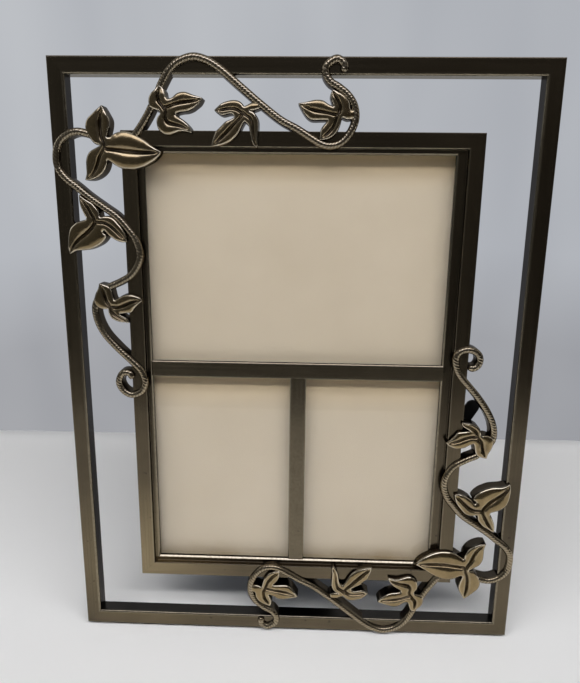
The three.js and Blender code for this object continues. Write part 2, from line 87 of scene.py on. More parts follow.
STEM_ACROSS = [(-64.5, 91.2), (-61.7, 94.6), (-57.7, 100.5), (-51.9, 111.8), (-49.5, 115.5), (-45.9, 118.5), (-40.5, 120.2), (-35.7, 119.2), (-31.0, 116.6), (-23.3, 110.4), (-15.5, 104.1), (-7.7, 98.4), (-1.8, 95.4), (3.7, 92.1), (7.7, 90.0), (10.9, 89.5), (14.4, 90.4), (17.9, 94.0), (19.9, 98.9), (19.3, 103.7), (17.0, 107.2), (13.5, 110.0), (10.3, 111.9), (8.6, 114.4), (8.6, 117.1), (10.5, 118.9), (12.5, 119.7), (14.6, 118.6), (15.4, 117.1), (14.7, 115.2)]
STEM_DOWN = [(-78.3, 92.2), (-81.2, 93.2), (-85.4, 93.9), (-89.5, 92.5), (-92.6, 89.5), (-93.8, 85.3), (-93.5, 80.9), (-91.0, 77.1), (-86.8, 73.7), (-82.8, 70.4), (-77.3, 66.5), (-71.8, 62.6), (-67.7, 58.0), (-64.7, 53.8), (-63.3, 48.8), (-64.0, 44.5), (-67.1, 39.8), (-71.6, 37.0), (-76.4, 34.7), (-80.5, 31.2), (-82.3, 26.6), (-81.8, 21.5), (-79.2, 15.7), (-74.4, 10.0), (-68.8, 4.5), (-64.9, 0.3), (-63.4, -4.4), (-65.3, -8.8), (-69.6, -10.1), (-72.9, -8.1), (-74.3, -4.6), (-72.6, -0.9), (-69.7, -0.9), (-68.6, -3.2)]

# Leaves of one vine: outline round the three lobes (1 marks a tip or a notch), the hub
# where the veins meet, and each lobe's vein from hub to tip.
LEAVES = {
    'corner_leaf': {
        'outline': [(-73.39, 91.75, 1), (-72.23, 91.98, 0), (-70.77, 93.07, 0), (-68.66, 93.84, 0), (-66.35, 93.87, 0), (-64.08, 93.33, 0), (-61.83, 92.28, 0), (-59.59, 90.98, 0), (-57.35, 89.26, 0), (-55.11, 87.75, 0), (-53.53, 86.94, 1), (-54.27, 85.58, 0), (-56.44, 83.57, 0), (-58.82, 82.23, 0), (-61.19, 81.20, 0), (-63.55, 80.63, 0), (-65.88, 80.57, 0), (-68.20, 80.81, 0), (-70.49, 81.68, 0), (-72.06, 82.77, 0), (-73.51, 83.75, 1), (-73.72, 82.31, 0), (-74.54, 80.31, 0), (-75.80, 78.73, 0), (-77.76, 77.38, 0), (-80.16, 76.57, 0), (-82.40, 76.55, 1), (-81.77, 78.91, 0), (-81.74, 81.13, 0), (-81.71, 83.35, 0), (-81.24, 85.12, 0), (-80.20, 86.67, 0), (-78.27, 87.78, 0), (-75.88, 88.90, 1), (-77.94, 89.32, 1), (-78.82, 90.18, 0), (-80.30, 92.13, 0), (-81.21, 94.30, 0), (-81.19, 96.24, 0), (-80.37, 98.17, 0), (-78.66, 99.69, 0), (-76.72, 101.30, 0), (-74.68, 102.87, 1), (-73.33, 100.58, 0), (-72.11, 98.02, 0), (-72.24, 95.65, 0), (-72.83, 93.49, 0)],
        'hub': (-74.74, 88.47),
        'ribs': [
            [(-74.10, 87.71), (-72.49, 87.50), (-67.87, 87.03), (-63.25, 86.63), (-58.64, 86.41), (-55.39, 86.48), (-53.53, 86.94)],
            [(-74.79, 89.56), (-75.46, 91.95), (-75.86, 94.77), (-75.80, 97.77), (-75.28, 100.57), (-74.68, 102.87)],
            [(-75.55, 86.70), (-76.59, 84.94), (-77.58, 82.28), (-78.66, 79.82), (-80.34, 77.57), (-82.40, 76.55)],
        ],
    },
    'leaf_a': {
        'outline': [(-49.47, 105.43, 1), (-48.26, 105.91, 0), (-47.02, 107.04, 0), (-45.64, 107.68, 0), (-43.92, 107.85, 0), (-42.56, 107.53, 0), (-40.53, 106.75, 0), (-38.83, 106.29, 0), (-37.22, 105.77, 1), (-38.37, 103.90, 0), (-39.78, 102.77, 0), (-41.17, 101.80, 0), (-43.26, 101.06, 0), (-44.98, 100.89, 0), (-46.89, 100.47, 1), (-46.91, 99.83, 1), (-45.39, 98.87, 0), (-44.04, 97.91, 0), (-42.87, 96.78, 0), (-41.86, 95.49, 0), (-41.39, 93.78, 1), (-44.31, 94.33, 0), (-46.06, 94.23, 0), (-47.80, 93.65, 0), (-49.56, 93.12, 0), (-51.13, 93.14, 0), (-52.65, 93.95, 0), (-53.66, 95.08, 0), (-54.12, 96.38, 0), (-54.24, 97.84, 0), (-53.84, 99.14, 0), (-52.77, 100.28, 1), (-53.06, 101.32, 1), (-54.44, 101.55, 0), (-56.31, 102.35, 0), (-56.79, 103.15, 0), (-56.98, 104.42, 0), (-56.76, 105.87, 0), (-55.92, 107.31, 0), (-54.50, 108.51, 0), (-52.99, 109.98, 1), (-51.73, 109.39, 0), (-50.92, 108.13, 0), (-50.63, 106.70, 0), (-49.99, 105.58, 0)],
        'hub': (-51.81, 102.54),
        'ribs': [
            [(-51.13, 102.54), (-48.33, 103.52), (-45.74, 104.18), (-43.15, 104.59), (-40.58, 104.84), (-38.69, 105.17), (-37.22, 105.77)],
            [(-52.14, 103.02), (-53.12, 104.45), (-53.58, 105.88), (-53.52, 107.48), (-53.29, 108.75), (-52.99, 109.98)],
            [(-50.84, 100.93), (-51.17, 99.00), (-50.45, 97.54), (-48.57, 96.74), (-46.00, 96.11), (-43.43, 95.15), (-41.39, 93.78)],
        ],
    },
    'leaf_b': {
        'outline': [(-21.67, 102.85, 1), (-22.38, 103.96, 0), (-23.48, 104.70, 0), (-24.91, 104.99, 0), (-26.49, 104.91, 0), (-28.09, 104.52, 0), (-29.36, 104.06, 0), (-30.49, 103.31, 0), (-32.51, 101.52, 1), (-30.70, 100.19, 0), (-29.43, 99.74, 0), (-28.46, 99.90, 0), (-27.19, 100.21, 0), (-25.91, 100.22, 0), (-25.12, 99.24, 1), (-26.56, 98.41, 0), (-28.49, 97.64, 0), (-29.79, 96.43, 0), (-30.93, 95.36, 0), (-31.91, 94.45, 0), (-32.59, 92.92, 0), (-33.25, 91.24, 0), (-33.70, 88.98, 1), (-31.52, 89.12, 0), (-29.57, 89.59, 0), (-27.47, 90.38, 0), (-25.84, 91.45, 0), (-24.38, 92.83, 0), (-23.40, 94.20, 0), (-22.59, 95.72, 0), (-22.11, 96.64, 0), (-21.46, 97.69, 1), (-21.15, 97.39, 1), (-20.03, 96.35, 0), (-19.72, 94.84, 0), (-19.40, 92.87, 0), (-18.93, 91.20, 0), (-18.29, 89.68, 0), (-17.08, 88.59, 1), (-16.65, 89.84, 0), (-16.76, 91.82, 0), (-16.64, 94.10, 0), (-16.49, 96.37, 0), (-16.59, 98.47, 0), (-17.31, 99.97, 0), (-18.42, 101.16, 0), (-19.69, 101.45, 1), (-18.26, 101.43, 0), (-15.87, 102.22, 1), (-16.01, 104.15, 1), (-18.72, 104.28, 0), (-20.55, 103.38, 0)],
        'hub': (-22.08, 100.99),
        'ribs': [
            [(-22.89, 99.18), (-24.98, 97.36), (-27.25, 95.01), (-29.86, 92.41), (-32.06, 90.34), (-33.70, 88.98)],
            [(-22.55, 101.06), (-23.98, 101.80), (-25.89, 102.16), (-28.12, 101.99), (-30.51, 101.67), (-32.51, 101.52)],
            [(-20.81, 100.09), (-19.22, 98.83), (-18.43, 96.36), (-18.20, 93.64), (-17.80, 91.06), (-17.08, 88.59)],
        ],
    },
    'leaf_c': {
        'outline': [(11.54, 103.14, 1), (9.64, 104.01, 0), (7.97, 105.10, 0), (6.32, 105.42, 0), (4.45, 105.31, 0), (2.35, 104.74, 0), (0.47, 104.39, 0), (-1.13, 104.21, 1), (0.03, 102.19, 0), (1.01, 100.64, 0), (2.21, 99.30, 0), (3.64, 98.47, 0), (5.30, 98.32, 0), (7.19, 98.40, 0), (9.68, 98.46, 1), (8.18, 96.89, 0), (7.26, 95.54, 0), (6.82, 93.73, 0), (6.76, 91.59, 1), (9.72, 92.00, 0), (11.59, 92.98, 0), (13.08, 94.69, 0), (14.09, 96.93, 0), (14.71, 99.39, 1), (16.62, 98.69, 0), (19.55, 99.20, 1), (19.44, 102.08, 1), (17.79, 102.29, 0), (17.30, 104.49, 1), (16.38, 106.03, 0), (14.94, 107.12, 0), (13.04, 108.10, 0), (11.03, 108.89, 1), (10.27, 106.88, 0), (10.67, 105.12, 0)],
        'hub': (13.28, 100.27),
        'ribs': [
            [(12.57, 100.38), (9.49, 101.03), (6.18, 101.56), (3.10, 102.31), (0.48, 103.41), (-1.13, 104.21)],
            [(13.83, 101.39), (13.88, 103.38), (13.12, 105.36), (12.01, 107.10), (11.03, 108.89)],
            [(12.85, 98.93), (11.85, 96.47), (10.25, 94.33), (8.28, 92.61), (6.76, 91.59)],
        ],
    },
    'leaf_d': {
        'outline': [(-83.61, 61.17, 1), (-85.53, 60.68, 0), (-87.07, 60.21, 0), (-88.46, 59.28, 0), (-89.69, 57.98, 0), (-90.45, 55.93, 0), (-90.80, 53.15, 0), (-90.82, 50.36, 0), (-90.45, 48.13, 1), (-88.82, 48.99, 0), (-86.87, 49.58, 0), (-84.76, 49.71, 0), (-82.45, 50.11, 0), (-80.10, 51.07, 0), (-78.13, 52.21, 0), (-76.51, 53.90, 0), (-75.94, 55.39, 0), (-77.30, 56.48, 1), (-76.67, 57.31, 1), (-75.45, 55.67, 0), (-73.64, 54.31, 0), (-71.80, 53.32, 0), (-69.93, 52.88, 0), (-68.12, 53.17, 1), (-68.79, 56.40, 0), (-69.83, 58.22, 0), (-71.25, 60.04, 0), (-72.48, 61.48, 0), (-73.93, 62.38, 0), (-75.99, 62.62, 0), (-77.93, 62.20, 1), (-78.12, 63.05, 0), (-78.32, 64.32, 0), (-79.52, 66.11, 0), (-80.93, 67.55, 0), (-82.38, 68.25, 0), (-83.99, 69.31, 0), (-85.57, 70.33, 1), (-85.49, 68.03, 0), (-85.16, 66.05, 0), (-84.52, 64.24, 0), (-83.88, 62.80, 0), (-83.19, 61.72, 1)],
        'hub': (-80.06, 60.65),
        'ribs': [
            [(-80.30, 59.74), (-82.15, 57.42), (-84.37, 55.46), (-86.98, 53.39), (-89.16, 50.95), (-90.45, 48.13)],
            [(-80.18, 61.57), (-81.28, 63.56), (-82.53, 65.90), (-84.07, 68.23), (-85.57, 70.33)],
            [(-79.13, 60.40), (-76.51, 60.15), (-74.31, 59.08), (-72.15, 57.28), (-70.00, 55.09), (-68.12, 53.17)],
        ],
    },
    'leaf_e': {
        'outline': [(-74.00, 29.84, 1), (-72.40, 30.64, 0), (-70.80, 31.60, 0), (-69.24, 31.96, 0), (-67.23, 32.07, 0), (-65.56, 31.53, 0), (-64.04, 30.78, 0), (-63.17, 29.56, 1), (-64.96, 27.98, 0), (-66.42, 26.40, 0), (-67.58, 24.89, 0), (-69.15, 24.63, 0), (-71.19, 24.44, 1), (-72.20, 24.38, 1), (-71.69, 23.95, 1), (-70.32, 23.12, 0), (-69.12, 22.28, 0), (-68.89, 20.71, 1), (-70.59, 20.96, 0), (-72.15, 21.09, 0), (-73.84, 21.56, 0), (-75.36, 22.40, 0), (-76.09, 23.26, 0), (-76.63, 24.65, 1), (-76.69, 26.22, 1), (-78.88, 26.10, 0), (-80.72, 26.69, 0), (-81.96, 28.08, 0), (-82.06, 30.02, 0), (-81.29, 32.35, 0), (-80.16, 34.37, 0), (-79.74, 36.19, 1), (-77.83, 35.79, 0), (-75.87, 35.06, 0), (-75.01, 33.83, 0), (-74.64, 32.15, 0), (-74.28, 30.46, 0)],
        'hub': (-75.88, 26.86),
        'ribs': [
            [(-75.10, 26.87), (-72.62, 26.84), (-70.25, 27.58), (-67.87, 28.62), (-65.35, 29.36), (-63.17, 29.56)],
            [(-76.30, 27.63), (-77.29, 29.32), (-77.78, 31.48), (-78.43, 33.63), (-79.74, 36.19)],
            [(-75.49, 25.46), (-74.33, 23.91), (-72.53, 22.69), (-70.56, 21.62), (-68.89, 20.71)],
        ],
    },
}

# ------------------------------------------------------------------ materials
def material(name):
    m = bpy.data.materials.new(name)
    m.use_nodes = True
    t = m.node_tree
    t.nodes.clear()
    out = t.nodes.new("ShaderNodeOutputMaterial")
    return m, t, out


def node(t, kind, **values):
    n = t.nodes.new(kind)
    for k, v in values.items():
        if k.startswith("_"):
            setattr(n, k[1:], v)
        else:
            n.inputs[k.replace("__", " ")].default_value = v
    return n


def link(t, a, b):
    t.links.new(a, b)


def object_coords(t, scale=(1, 1, 1), rotation=(0, 0, 0)):
    tc = node(t, "ShaderNodeTexCoord")
    mp = node(t, "ShaderNodeMapping")
    mp.inputs["Scale"].default_value = scale
    mp.inputs["Rotation"].default_value = rotation
    link(t, tc.outputs["Object"], mp.inputs["Vector"])
    return mp.outputs["Vector"]


def uv_coords(t, scale=(1, 1, 1)):
    uv = node(t, "ShaderNodeUVMap", _uv_map="finish")
    mp = node(t, "ShaderNodeMapping")
    mp.inputs["Scale"].default_value = scale
    link(t, uv.outputs["UV"], mp.inputs["Vector"])
    return mp.outputs["Vector"]


def noise_tex(t, vec, scale, detail=4.0, rough=0.55, distortion=0.0):
    n = node(t, "ShaderNodeTexNoise", Scale=scale, Detail=detail, Roughness=rough, Distortion=distortion)
    link(t, vec, n.inputs["Vector"])
    return n.outputs["Fac"]


def ramp(t, fac, stops, interpolation="LINEAR"):
    r = node(t, "ShaderNodeValToRGB")
    r.color_ramp.interpolation = interpolation
    els = r.color_ramp.elements
    while len(els) < len(stops):
        els.new(0.5)
    for e, (pos, col) in zip(els, stops):
        e.position = pos
        e.color = col if len(col) == 4 else (*col, 1)
    link(t, fac, r.inputs["Fac"])
    return r.outputs["Color"]


def grey(t, fac, lo, hi, a=0.0, b=1.0):
    m = node(t, "ShaderNodeMapRange", _clamp=True)
    m.inputs["From Min"].default_value = a
    m.inputs["From Max"].default_value = b
    m.inputs["To Min"].default_value = lo
    m.inputs["To Max"].default_value = hi
    link(t, fac, m.inputs["Value"])
    return m.outputs["Result"]


def mix_colour(t, fac, a, b, blend="MIX"):
    m = node(t, "ShaderNodeMix", _data_type="RGBA", _blend_type=blend)
    for sock, val in ((m.inputs[0], fac), (m.inputs[6], a), (m.inputs[7], b)):
        if hasattr(val, "links"):
            link(t, val, sock)
        elif isinstance(val, (int, float)):
            sock.default_value = val
        else:
            sock.default_value = (*val, 1) if len(val) == 3 else val
    return m.outputs[2]


def maths(t, op, a, b=None):
    m = node(t, "ShaderNodeMath", _operation=op, _use_clamp=False)
    for sock, val in zip(m.inputs, (a, b)):
        if val is None:
            continue
        if hasattr(val, "links"):
            link(t, val, sock)
        else:
            sock.default_value = val
    return m.outputs[0]


def attribute(t, name):
    return node(t, "ShaderNodeAttribute", _attribute_name=name, _attribute_type="GEOMETRY").outputs["Fac"]


def bump(t, height, strength, distance, normal=None):
    b = node(t, "ShaderNodeBump", Strength=strength, Distance=distance)
    link(t, height, b.inputs["Height"])
    if normal is not None:
        link(t, normal, b.inputs["Normal"])
    return b.outputs["Normal"]


def finish_material(t, out, shader):
    link(t, shader.outputs["BSDF"], out.inputs["Surface"])


DARK_PATINA = (0.040, 0.032, 0.025)
SIDE_BRONZE = (0.052, 0.046, 0.038)
BRONZE = (0.136, 0.108, 0.070)
BRASS = (0.366, 0.273, 0.140)
BRIGHT = (0.800, 0.725, 0.585)


def bar_material():
    """Antique bronze bars: dark patina on the sides, brushed relief on the front faces."""
    m, t, out = material("bar_bronze_finish")
    p = node(t, "ShaderNodeBsdfPrincipled")
    p.inputs["Coat Weight"].default_value = 0.06
    p.inputs["Coat Roughness"].default_value = 0.22
    p.inputs["Metallic"].default_value = 1.0
    relief = attribute(t, "relief")
    wear = attribute(t, "wear")
    recess = attribute(t, "recess")
    obj = object_coords(t)
    cloud = noise_tex(t, obj, 55.0, 5.0, 0.6)
    fine = noise_tex(t, obj, 900.0, 4.0, 0.6)
    broad = noise_tex(t, obj, 11.0, 2.0, 0.5)
    streak = noise_tex(t, uv_coords(t, (0.05, 2.4, 1.0)), 3.0, 5.0, 0.65)
    streak_fine = noise_tex(t, uv_coords(t, (0.04, 7.0, 1.0)), 3.0, 3.0, 0.6)
    side = mix_colour(t, grey(t, cloud, 0.0, 1.0, 0.35, 0.68), SIDE_BRONZE, (0.036, 0.032, 0.027))
    front = mix_colour(t, grey(t, cloud, 0.0, 1.0, 0.34, 0.70), BRONZE, (0.100, 0.080, 0.051))
    front = mix_colour(t, grey(t, broad, 0.0, 0.60, 0.46, 0.66), front, (0.180, 0.143, 0.090))
    # painted highlight: the front faces turn brighter and more golden round a spot near the lower left inner corner
    glint_distance = node(t, "ShaderNodeVectorMath", _operation="DISTANCE")
    link(t, obj, glint_distance.inputs[0])
    glint_distance.inputs[1].default_value = tuple(world([(-66.0, -88.0, 0.0)])[0])
    front = mix_colour(t, grey(t, glint_distance.outputs["Value"], 0.62, 0.0, 0.006, 0.043), front, (0.400, 0.315, 0.180))
    # painted dark reflection: the front faces turn darker round a spot low on the right outer stile
    dark_reflection_distance = node(t, "ShaderNodeVectorMath", _operation="DISTANCE")
    link(t, obj, dark_reflection_distance.inputs[0])
    dark_reflection_distance.inputs[1].default_value = tuple(world([(95.0, -64.0, 0.0)])[0])
    front = mix_colour(t, grey(t, dark_reflection_distance.outputs["Value"], 0.62, 0.0, 0.008, 0.034), front, (0.052, 0.042, 0.029))
    front = mix_colour(t, grey(t, streak, 0.0, 0.55, 0.45, 0.75), front, (0.150, 0.121, 0.080))
    front = mix_colour(t, grey(t, streak_fine, 0.35, 0.0, 0.28, 0.48), front, (0.074, 0.059, 0.039))
    col = mix_colour(t, relief, side, front)
    col = mix_colour(t, maths(t, "MULTIPLY", recess, grey(t, fine, 0.5, 0.95, 0.3, 0.6)), col, DARK_PATINA)
    worn = maths(t, "MULTIPLY", wear, grey(t, fine, 0.45, 0.9, 0.35, 0.62))
    col = mix_colour(t, worn, col, (0.49, 0.43, 0.31))
    speck = grey(t, noise_tex(t, obj, 420.0, 2.0, 0.5), 0.0, 0.6, 0.70, 0.76)
    col = mix_colour(t, speck, col, DARK_PATINA)
    link(t, col, p.inputs["Base Color"])
    link(t, mix_colour(t, relief, (0.60, 0.595, 0.60), (0.95, 0.94, 0.92)), p.inputs["Specular Tint"])
    rough = maths(t, "ADD", grey(t, streak, 0.165, 0.235, 0.3, 0.7), grey(t, cloud, -0.02, 0.04, 0.3, 0.7))
    rough = maths(t, "ADD", rough, maths(t, "MULTIPLY", recess, 0.15))
    link(t, rough, p.inputs["Roughness"])
    n = bump(t, streak_fine, 0.10, 0.00006)
    n = bump(t, fine, 0.05, 0.00005, n)
    link(t, n, p.inputs["Normal"])
    finish_material(t, out, p)
    return m


def vine_material():
    """Cast vine: dark patina left in the hollows and on the walls, rubbed bright on the crests."""
    m, t, out = material("vine_brass_finish")
    p = node(t, "ShaderNodeBsdfPrincipled")
    p.inputs["Coat Weight"].default_value = 0.05
    p.inputs["Coat Roughness"].default_value = 0.2
    p.inputs["Metallic"].default_value = 1.0
    relief = attribute(t, "relief")
    wear = attribute(t, "wear")
    recess = attribute(t, "recess")
    obj = object_coords(t)
    cloud = noise_tex(t, obj, 140.0, 5.0, 0.6)
    fine = noise_tex(t, obj, 1500.0, 4.0, 0.6)
    scratch = noise_tex(t, object_coords(t, (1.0, 5.0, 5.0), (0.3, 0.2, 0.5)), 700.0, 3.0, 0.6)
    side = mix_colour(t, grey(t, cloud, 0.0, 1.0, 0.35, 0.68), (0.066, 0.055, 0.042), (0.046, 0.039, 0.030))
    top = mix_colour(t, grey(t, cloud, 0.0, 1.0, 0.34, 0.70), BRASS, (0.258, 0.190, 0.095))
    # Painted shade: the upper vine is coloured darker and browner than the lower one.
    upper_vine_shade = mix_colour(t, grey(t, cloud, 0.0, 1.0, 0.34, 0.70), (0.296, 0.222, 0.118), (0.200, 0.149, 0.078))
    height = node(t, "ShaderNodeSeparateXYZ")
    link(t, obj, height.inputs[0])
    top = mix_colour(t, grey(t, height.outputs["Z"], 0.0, 1.0, 0.10, 0.15), top, upper_vine_shade)
    col = mix_colour(t, relief, side, top)
    dark = maths(t, "MULTIPLY", recess, grey(t, cloud, 0.75, 1.0, 0.3, 0.6))
    col = mix_colour(t, dark, col, DARK_PATINA)
    worn = maths(t, "MULTIPLY", wear, grey(t, cloud, 0.70, 1.0, 0.35, 0.6))
    col = mix_colour(t, worn, col, BRIGHT)
    link(t, col, p.inputs["Base Color"])
    link(t, mix_colour(t, relief, (0.50, 0.48, 0.46), (0.95, 0.93, 0.90)), p.inputs["Specular Tint"])
    rough = grey(t, scratch, 0.15, 0.22, 0.3, 0.7)
    rough = maths(t, "ADD", rough, maths(t, "MULTIPLY", recess, 0.16))
    rough = maths(t, "SUBTRACT", rough, maths(t, "MULTIPLY", wear, 0.10))
    link(t, rough, p.inputs["Roughness"])
    n = bump(t, fine, 0.035, 0.00005)
    n = bump(t, scratch, 0.03, 0.00005, n)
    link(t, n, p.inputs["Normal"])
    finish_material(t, out, p)
    return m


def glass_material():
    m, t, out = material("window_glass")
    clear = node(t, "ShaderNodeBsdfTransparent", Color=(0.988, 0.993, 0.988, 1))
    gloss = node(t, "ShaderNodeBsdfGlossy", Color=(1, 1, 1, 1))
    smear = noise_tex(t, object_coords(t, (1.0, 1.0, 0.5)), 38.0, 4.0, 0.6)
    link(t, grey(t, smear, 0.015, 0.05, 0.35, 0.7), gloss.inputs["Roughness"])
    fres = node(t, "ShaderNodeFresnel", IOR=1.5)
    inner = node(t, "ShaderNodeNewGeometry").outputs["Backfacing"]
    mix = node(t, "ShaderNodeMixShader")
    link(t, maths(t, "MULTIPLY", fres.outputs[0], grey(t, inner, 1.0, 0.0)), mix.inputs[0])
    link(t, clear.outputs[0], mix.inputs[1])
    link(t, gloss.outputs[0], mix.inputs[2])
    link(t, mix.outputs[0], out.inputs["Surface"])
    return m


def paper_material():
    """Cream insert card: faint fibres and mottling."""
    m, t, out = material("insert_card")
    p = node(t, "ShaderNodeBsdfPrincipled", Roughness=0.82)
    p.inputs["Specular IOR Level"].default_value = 0.25
    obj = object_coords(t)
    cloud = noise_tex(t, obj, 22.0, 5.0, 0.6)
    fibre = noise_tex(t, object_coords(t, (1.0, 1.0, 6.0), (0.1, 0.4, 0.2)), 420.0, 5.0, 0.65)
    grain = noise_tex(t, obj, 2600.0, 3.0, 0.6)
    col = mix_colour(t, grey(t, cloud, 0.0, 1.0, 0.3, 0.7), (0.738, 0.633, 0.508), (0.676, 0.574, 0.449))
    col = mix_colour(t, grey(t, fibre, 0.0, 0.35, 0.55, 0.75), col, (0.645, 0.545, 0.420))
    col = mix_colour(t, grey(t, grain, 0.0, 0.18, 0.4, 0.7), col, (0.75, 0.66, 0.55))
    # painted warm shade: the card is tinted warmer under the top lip and under the divider, standing for light bounced
    # off the brass
    card = NODES["display_insert"].matrix_world
    up = Vector(TO_WORLD[:, 1])
    high = node(t, "ShaderNodeVectorMath", _operation="DOT_PRODUCT")
    link(t, obj, high.inputs[0])
    high.inputs[1].default_value = card.to_3x3().transposed() @ up
    y = maths(t, "ADD", high.outputs["Value"], up.dot(card.translation - Vector(ORIGIN)))
    top = grey(t, y, 0.0, 1.0, 0.071, 0.0855)
    low = maths(t, "MULTIPLY", grey(t, y, 0.0, 1.0, -0.022, -0.002), grey(t, y, 1.0, 0.0, 0.0, 0.001))
    warm_shade = maths(t, "MAXIMUM", top, low)
    col = mix_colour(t, maths(t, "MULTIPLY", warm_shade, warm_shade), col, (1.0, 0.87, 0.62), "MULTIPLY")
    # painted shade: a mottled brown darkening along the bottom lip of the lower windows
    foot = maths(t, "MULTIPLY", grey(t, y, 0.75, 0.0, -0.0868, -0.0800), grey(t, cloud, 0.25, 1.0, 0.38, 0.62))
    col = mix_colour(t, foot, col, (0.62, 0.53, 0.38), "MULTIPLY")
    link(t, col, p.inputs["Base Color"])
    n = bump(t, grain, 0.12, 0.0001)
    n = bump(t, fibre, 0.08, 0.0001, n)
    link(t, n, p.inputs["Normal"])
    finish_material(t, out, p)
    return m


def velvet_material():
    """Black pressed velvet: fine pile with a nap that catches light at the edges."""
    m, t, out = material("black_velvet")
    p = node(t, "ShaderNodeBsdfPrincipled", Roughness=0.92)
    p.inputs["Specular IOR Level"].default_value = 0.1
    p.inputs["Sheen Weight"].default_value = 0.55
    p.inputs["Sheen Roughness"].default_value = 0.38
    p.inputs["Sheen Tint"].default_value = (0.55, 0.56, 0.60, 1)
    obj = object_coords(t)
    nap = noise_tex(t, obj, 60.0, 5.0, 0.6, 0.4)
    pile = noise_tex(t, obj, 3200.0, 3.0, 0.7)
    brush = noise_tex(t, object_coords(t, (5.0, 1.0, 0.6)), 130.0, 4.0, 0.6)
    col = mix_colour(t, grey(t, nap, 0.0, 1.0, 0.32, 0.7), (0.0095, 0.0095, 0.0105), (0.021, 0.021, 0.023))
    col = mix_colour(t, grey(t, brush, 0.0, 0.5, 0.45, 0.75), col, (0.030, 0.030, 0.033))
    col = mix_colour(t, grey(t, pile, 0.0, 0.45, 0.45, 0.75), col, (0.042, 0.042, 0.046))
    link(t, col, p.inputs["Base Color"])
    n = bump(t, pile, 0.55, 0.0003)
    n = bump(t, nap, 0.18, 0.0008, n)
    link(t, n, p.inputs["Normal"])
    finish_material(t, out, p)
    return m


def hinge_material():
    """Plated steel hinge: rolled grain, faint tarnish and dull scuffs."""
    m, t, out = material("hinge_plate_steel")
    p = node(t, "ShaderNodeBsdfPrincipled")
    p.inputs["Metallic"].default_value = 1.0
    obj = object_coords(t)
    grain = noise_tex(t, object_coords(t, (1.0, 14.0, 14.0)), 160.0, 4.0, 0.65)
    cloud = noise_tex(t, obj, 160.0, 5.0, 0.6)
    fine = noise_tex(t, obj, 2200.0, 3.0, 0.6)
    col = mix_colour(t, grey(t, cloud, 0.0, 1.0, 0.35, 0.7), (0.50, 0.475, 0.43), (0.36, 0.335, 0.295))
    col = mix_colour(t, grey(t, grain, 0.0, 0.4, 0.5, 0.75), col, (0.62, 0.60, 0.56))
    link(t, col, p.inputs["Base Color"])
    link(t, grey(t, grain, 0.26, 0.44, 0.3, 0.7), p.inputs["Roughness"])
    n = bump(t, grain, 0.10, 0.0001)
    n = bump(t, fine, 0.05, 0.00005, n)
    link(t, n, p.inputs["Normal"])
    finish_material(t, out, p)
    return m


def clip_material():
    """Black lacquered turn buttons, rubbed a little at the edges."""
    m, t, out = material("clip_black_lacquer")
    p = node(t, "ShaderNodeBsdfPrincipled")
    p.inputs["Specular IOR Level"].default_value = 0.14
    obj = object_coords(t)
    cloud = noise_tex(t, obj, 240.0, 4.0, 0.6)
    fine = noise_tex(t, obj, 2600.0, 3.0, 0.6)
    wear = attribute(t, "wear")
    col = mix_colour(t, grey(t, cloud, 0.0, 1.0, 0.35, 0.7), (0.0058, 0.0055, 0.0056), (0.0105, 0.0100, 0.0100))
    rub = maths(t, "MULTIPLY", wear, grey(t, fine, 0.0, 0.8, 0.50, 0.62))
    col = mix_colour(t, rub, col, (0.17, 0.16, 0.145))
    link(t, col, p.inputs["Base Color"])
    link(t, maths(t, "MULTIPLY", rub, 0.9), p.inputs["Metallic"])
    link(t, grey(t, cloud, 0.42, 0.58, 0.3, 0.7), p.inputs["Roughness"])
    link(t, bump(t, fine, 0.12, 0.00008), p.inputs["Normal"])
    finish_material(t, out, p)
    return m


M_BAR, M_VINE, M_GLASS = bar_material(), vine_material(), glass_material()
M_PAPER, M_VELVET, M_HINGE, M_CLIP = paper_material(), velvet_material(), hinge_material(), clip_material()


# ------------------------------------------------------------------ mesh helpers
def make(name, verts, faces, mat, body, stands_for, attrs=None, uv=None, smooth=True, sharp_deg=None):
    """A piece from plane-frame points (mm), riding on a body and standing for a CAD node."""
    me = bpy.data.meshes.new(name)
    me.from_pydata([tuple(v) for v in world(verts)], [], [tuple(int(i) for i in f) for f in faces])
    me.validate()
    ob = bpy.data.objects.new(name, me)
    scene.collection.objects.link(ob)
    for key, val in (attrs or {}).items():
        a = me.attributes.new(key, "FLOAT", "POINT")
        a.data.foreach_set("value", np.asarray(val, np.float32))
    if uv is not None:
        layer = me.uv_layers.new(name="finish")
        loops = np.zeros(len(me.loops), np.int32)
        me.loops.foreach_get("vertex_index", loops)
        layer.data.foreach_set("uv", np.asarray(uv, np.float32)[loops].ravel())
    me.polygons.foreach_set("use_smooth", np.full(len(me.polygons), smooth))
    if sharp_deg is not None:
        me.set_sharp_from_angle(angle=math.radians(sharp_deg))
    me.materials.append(mat)
    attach(ob, body)
    if stands_for:
        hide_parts(stands_for)
    return ob


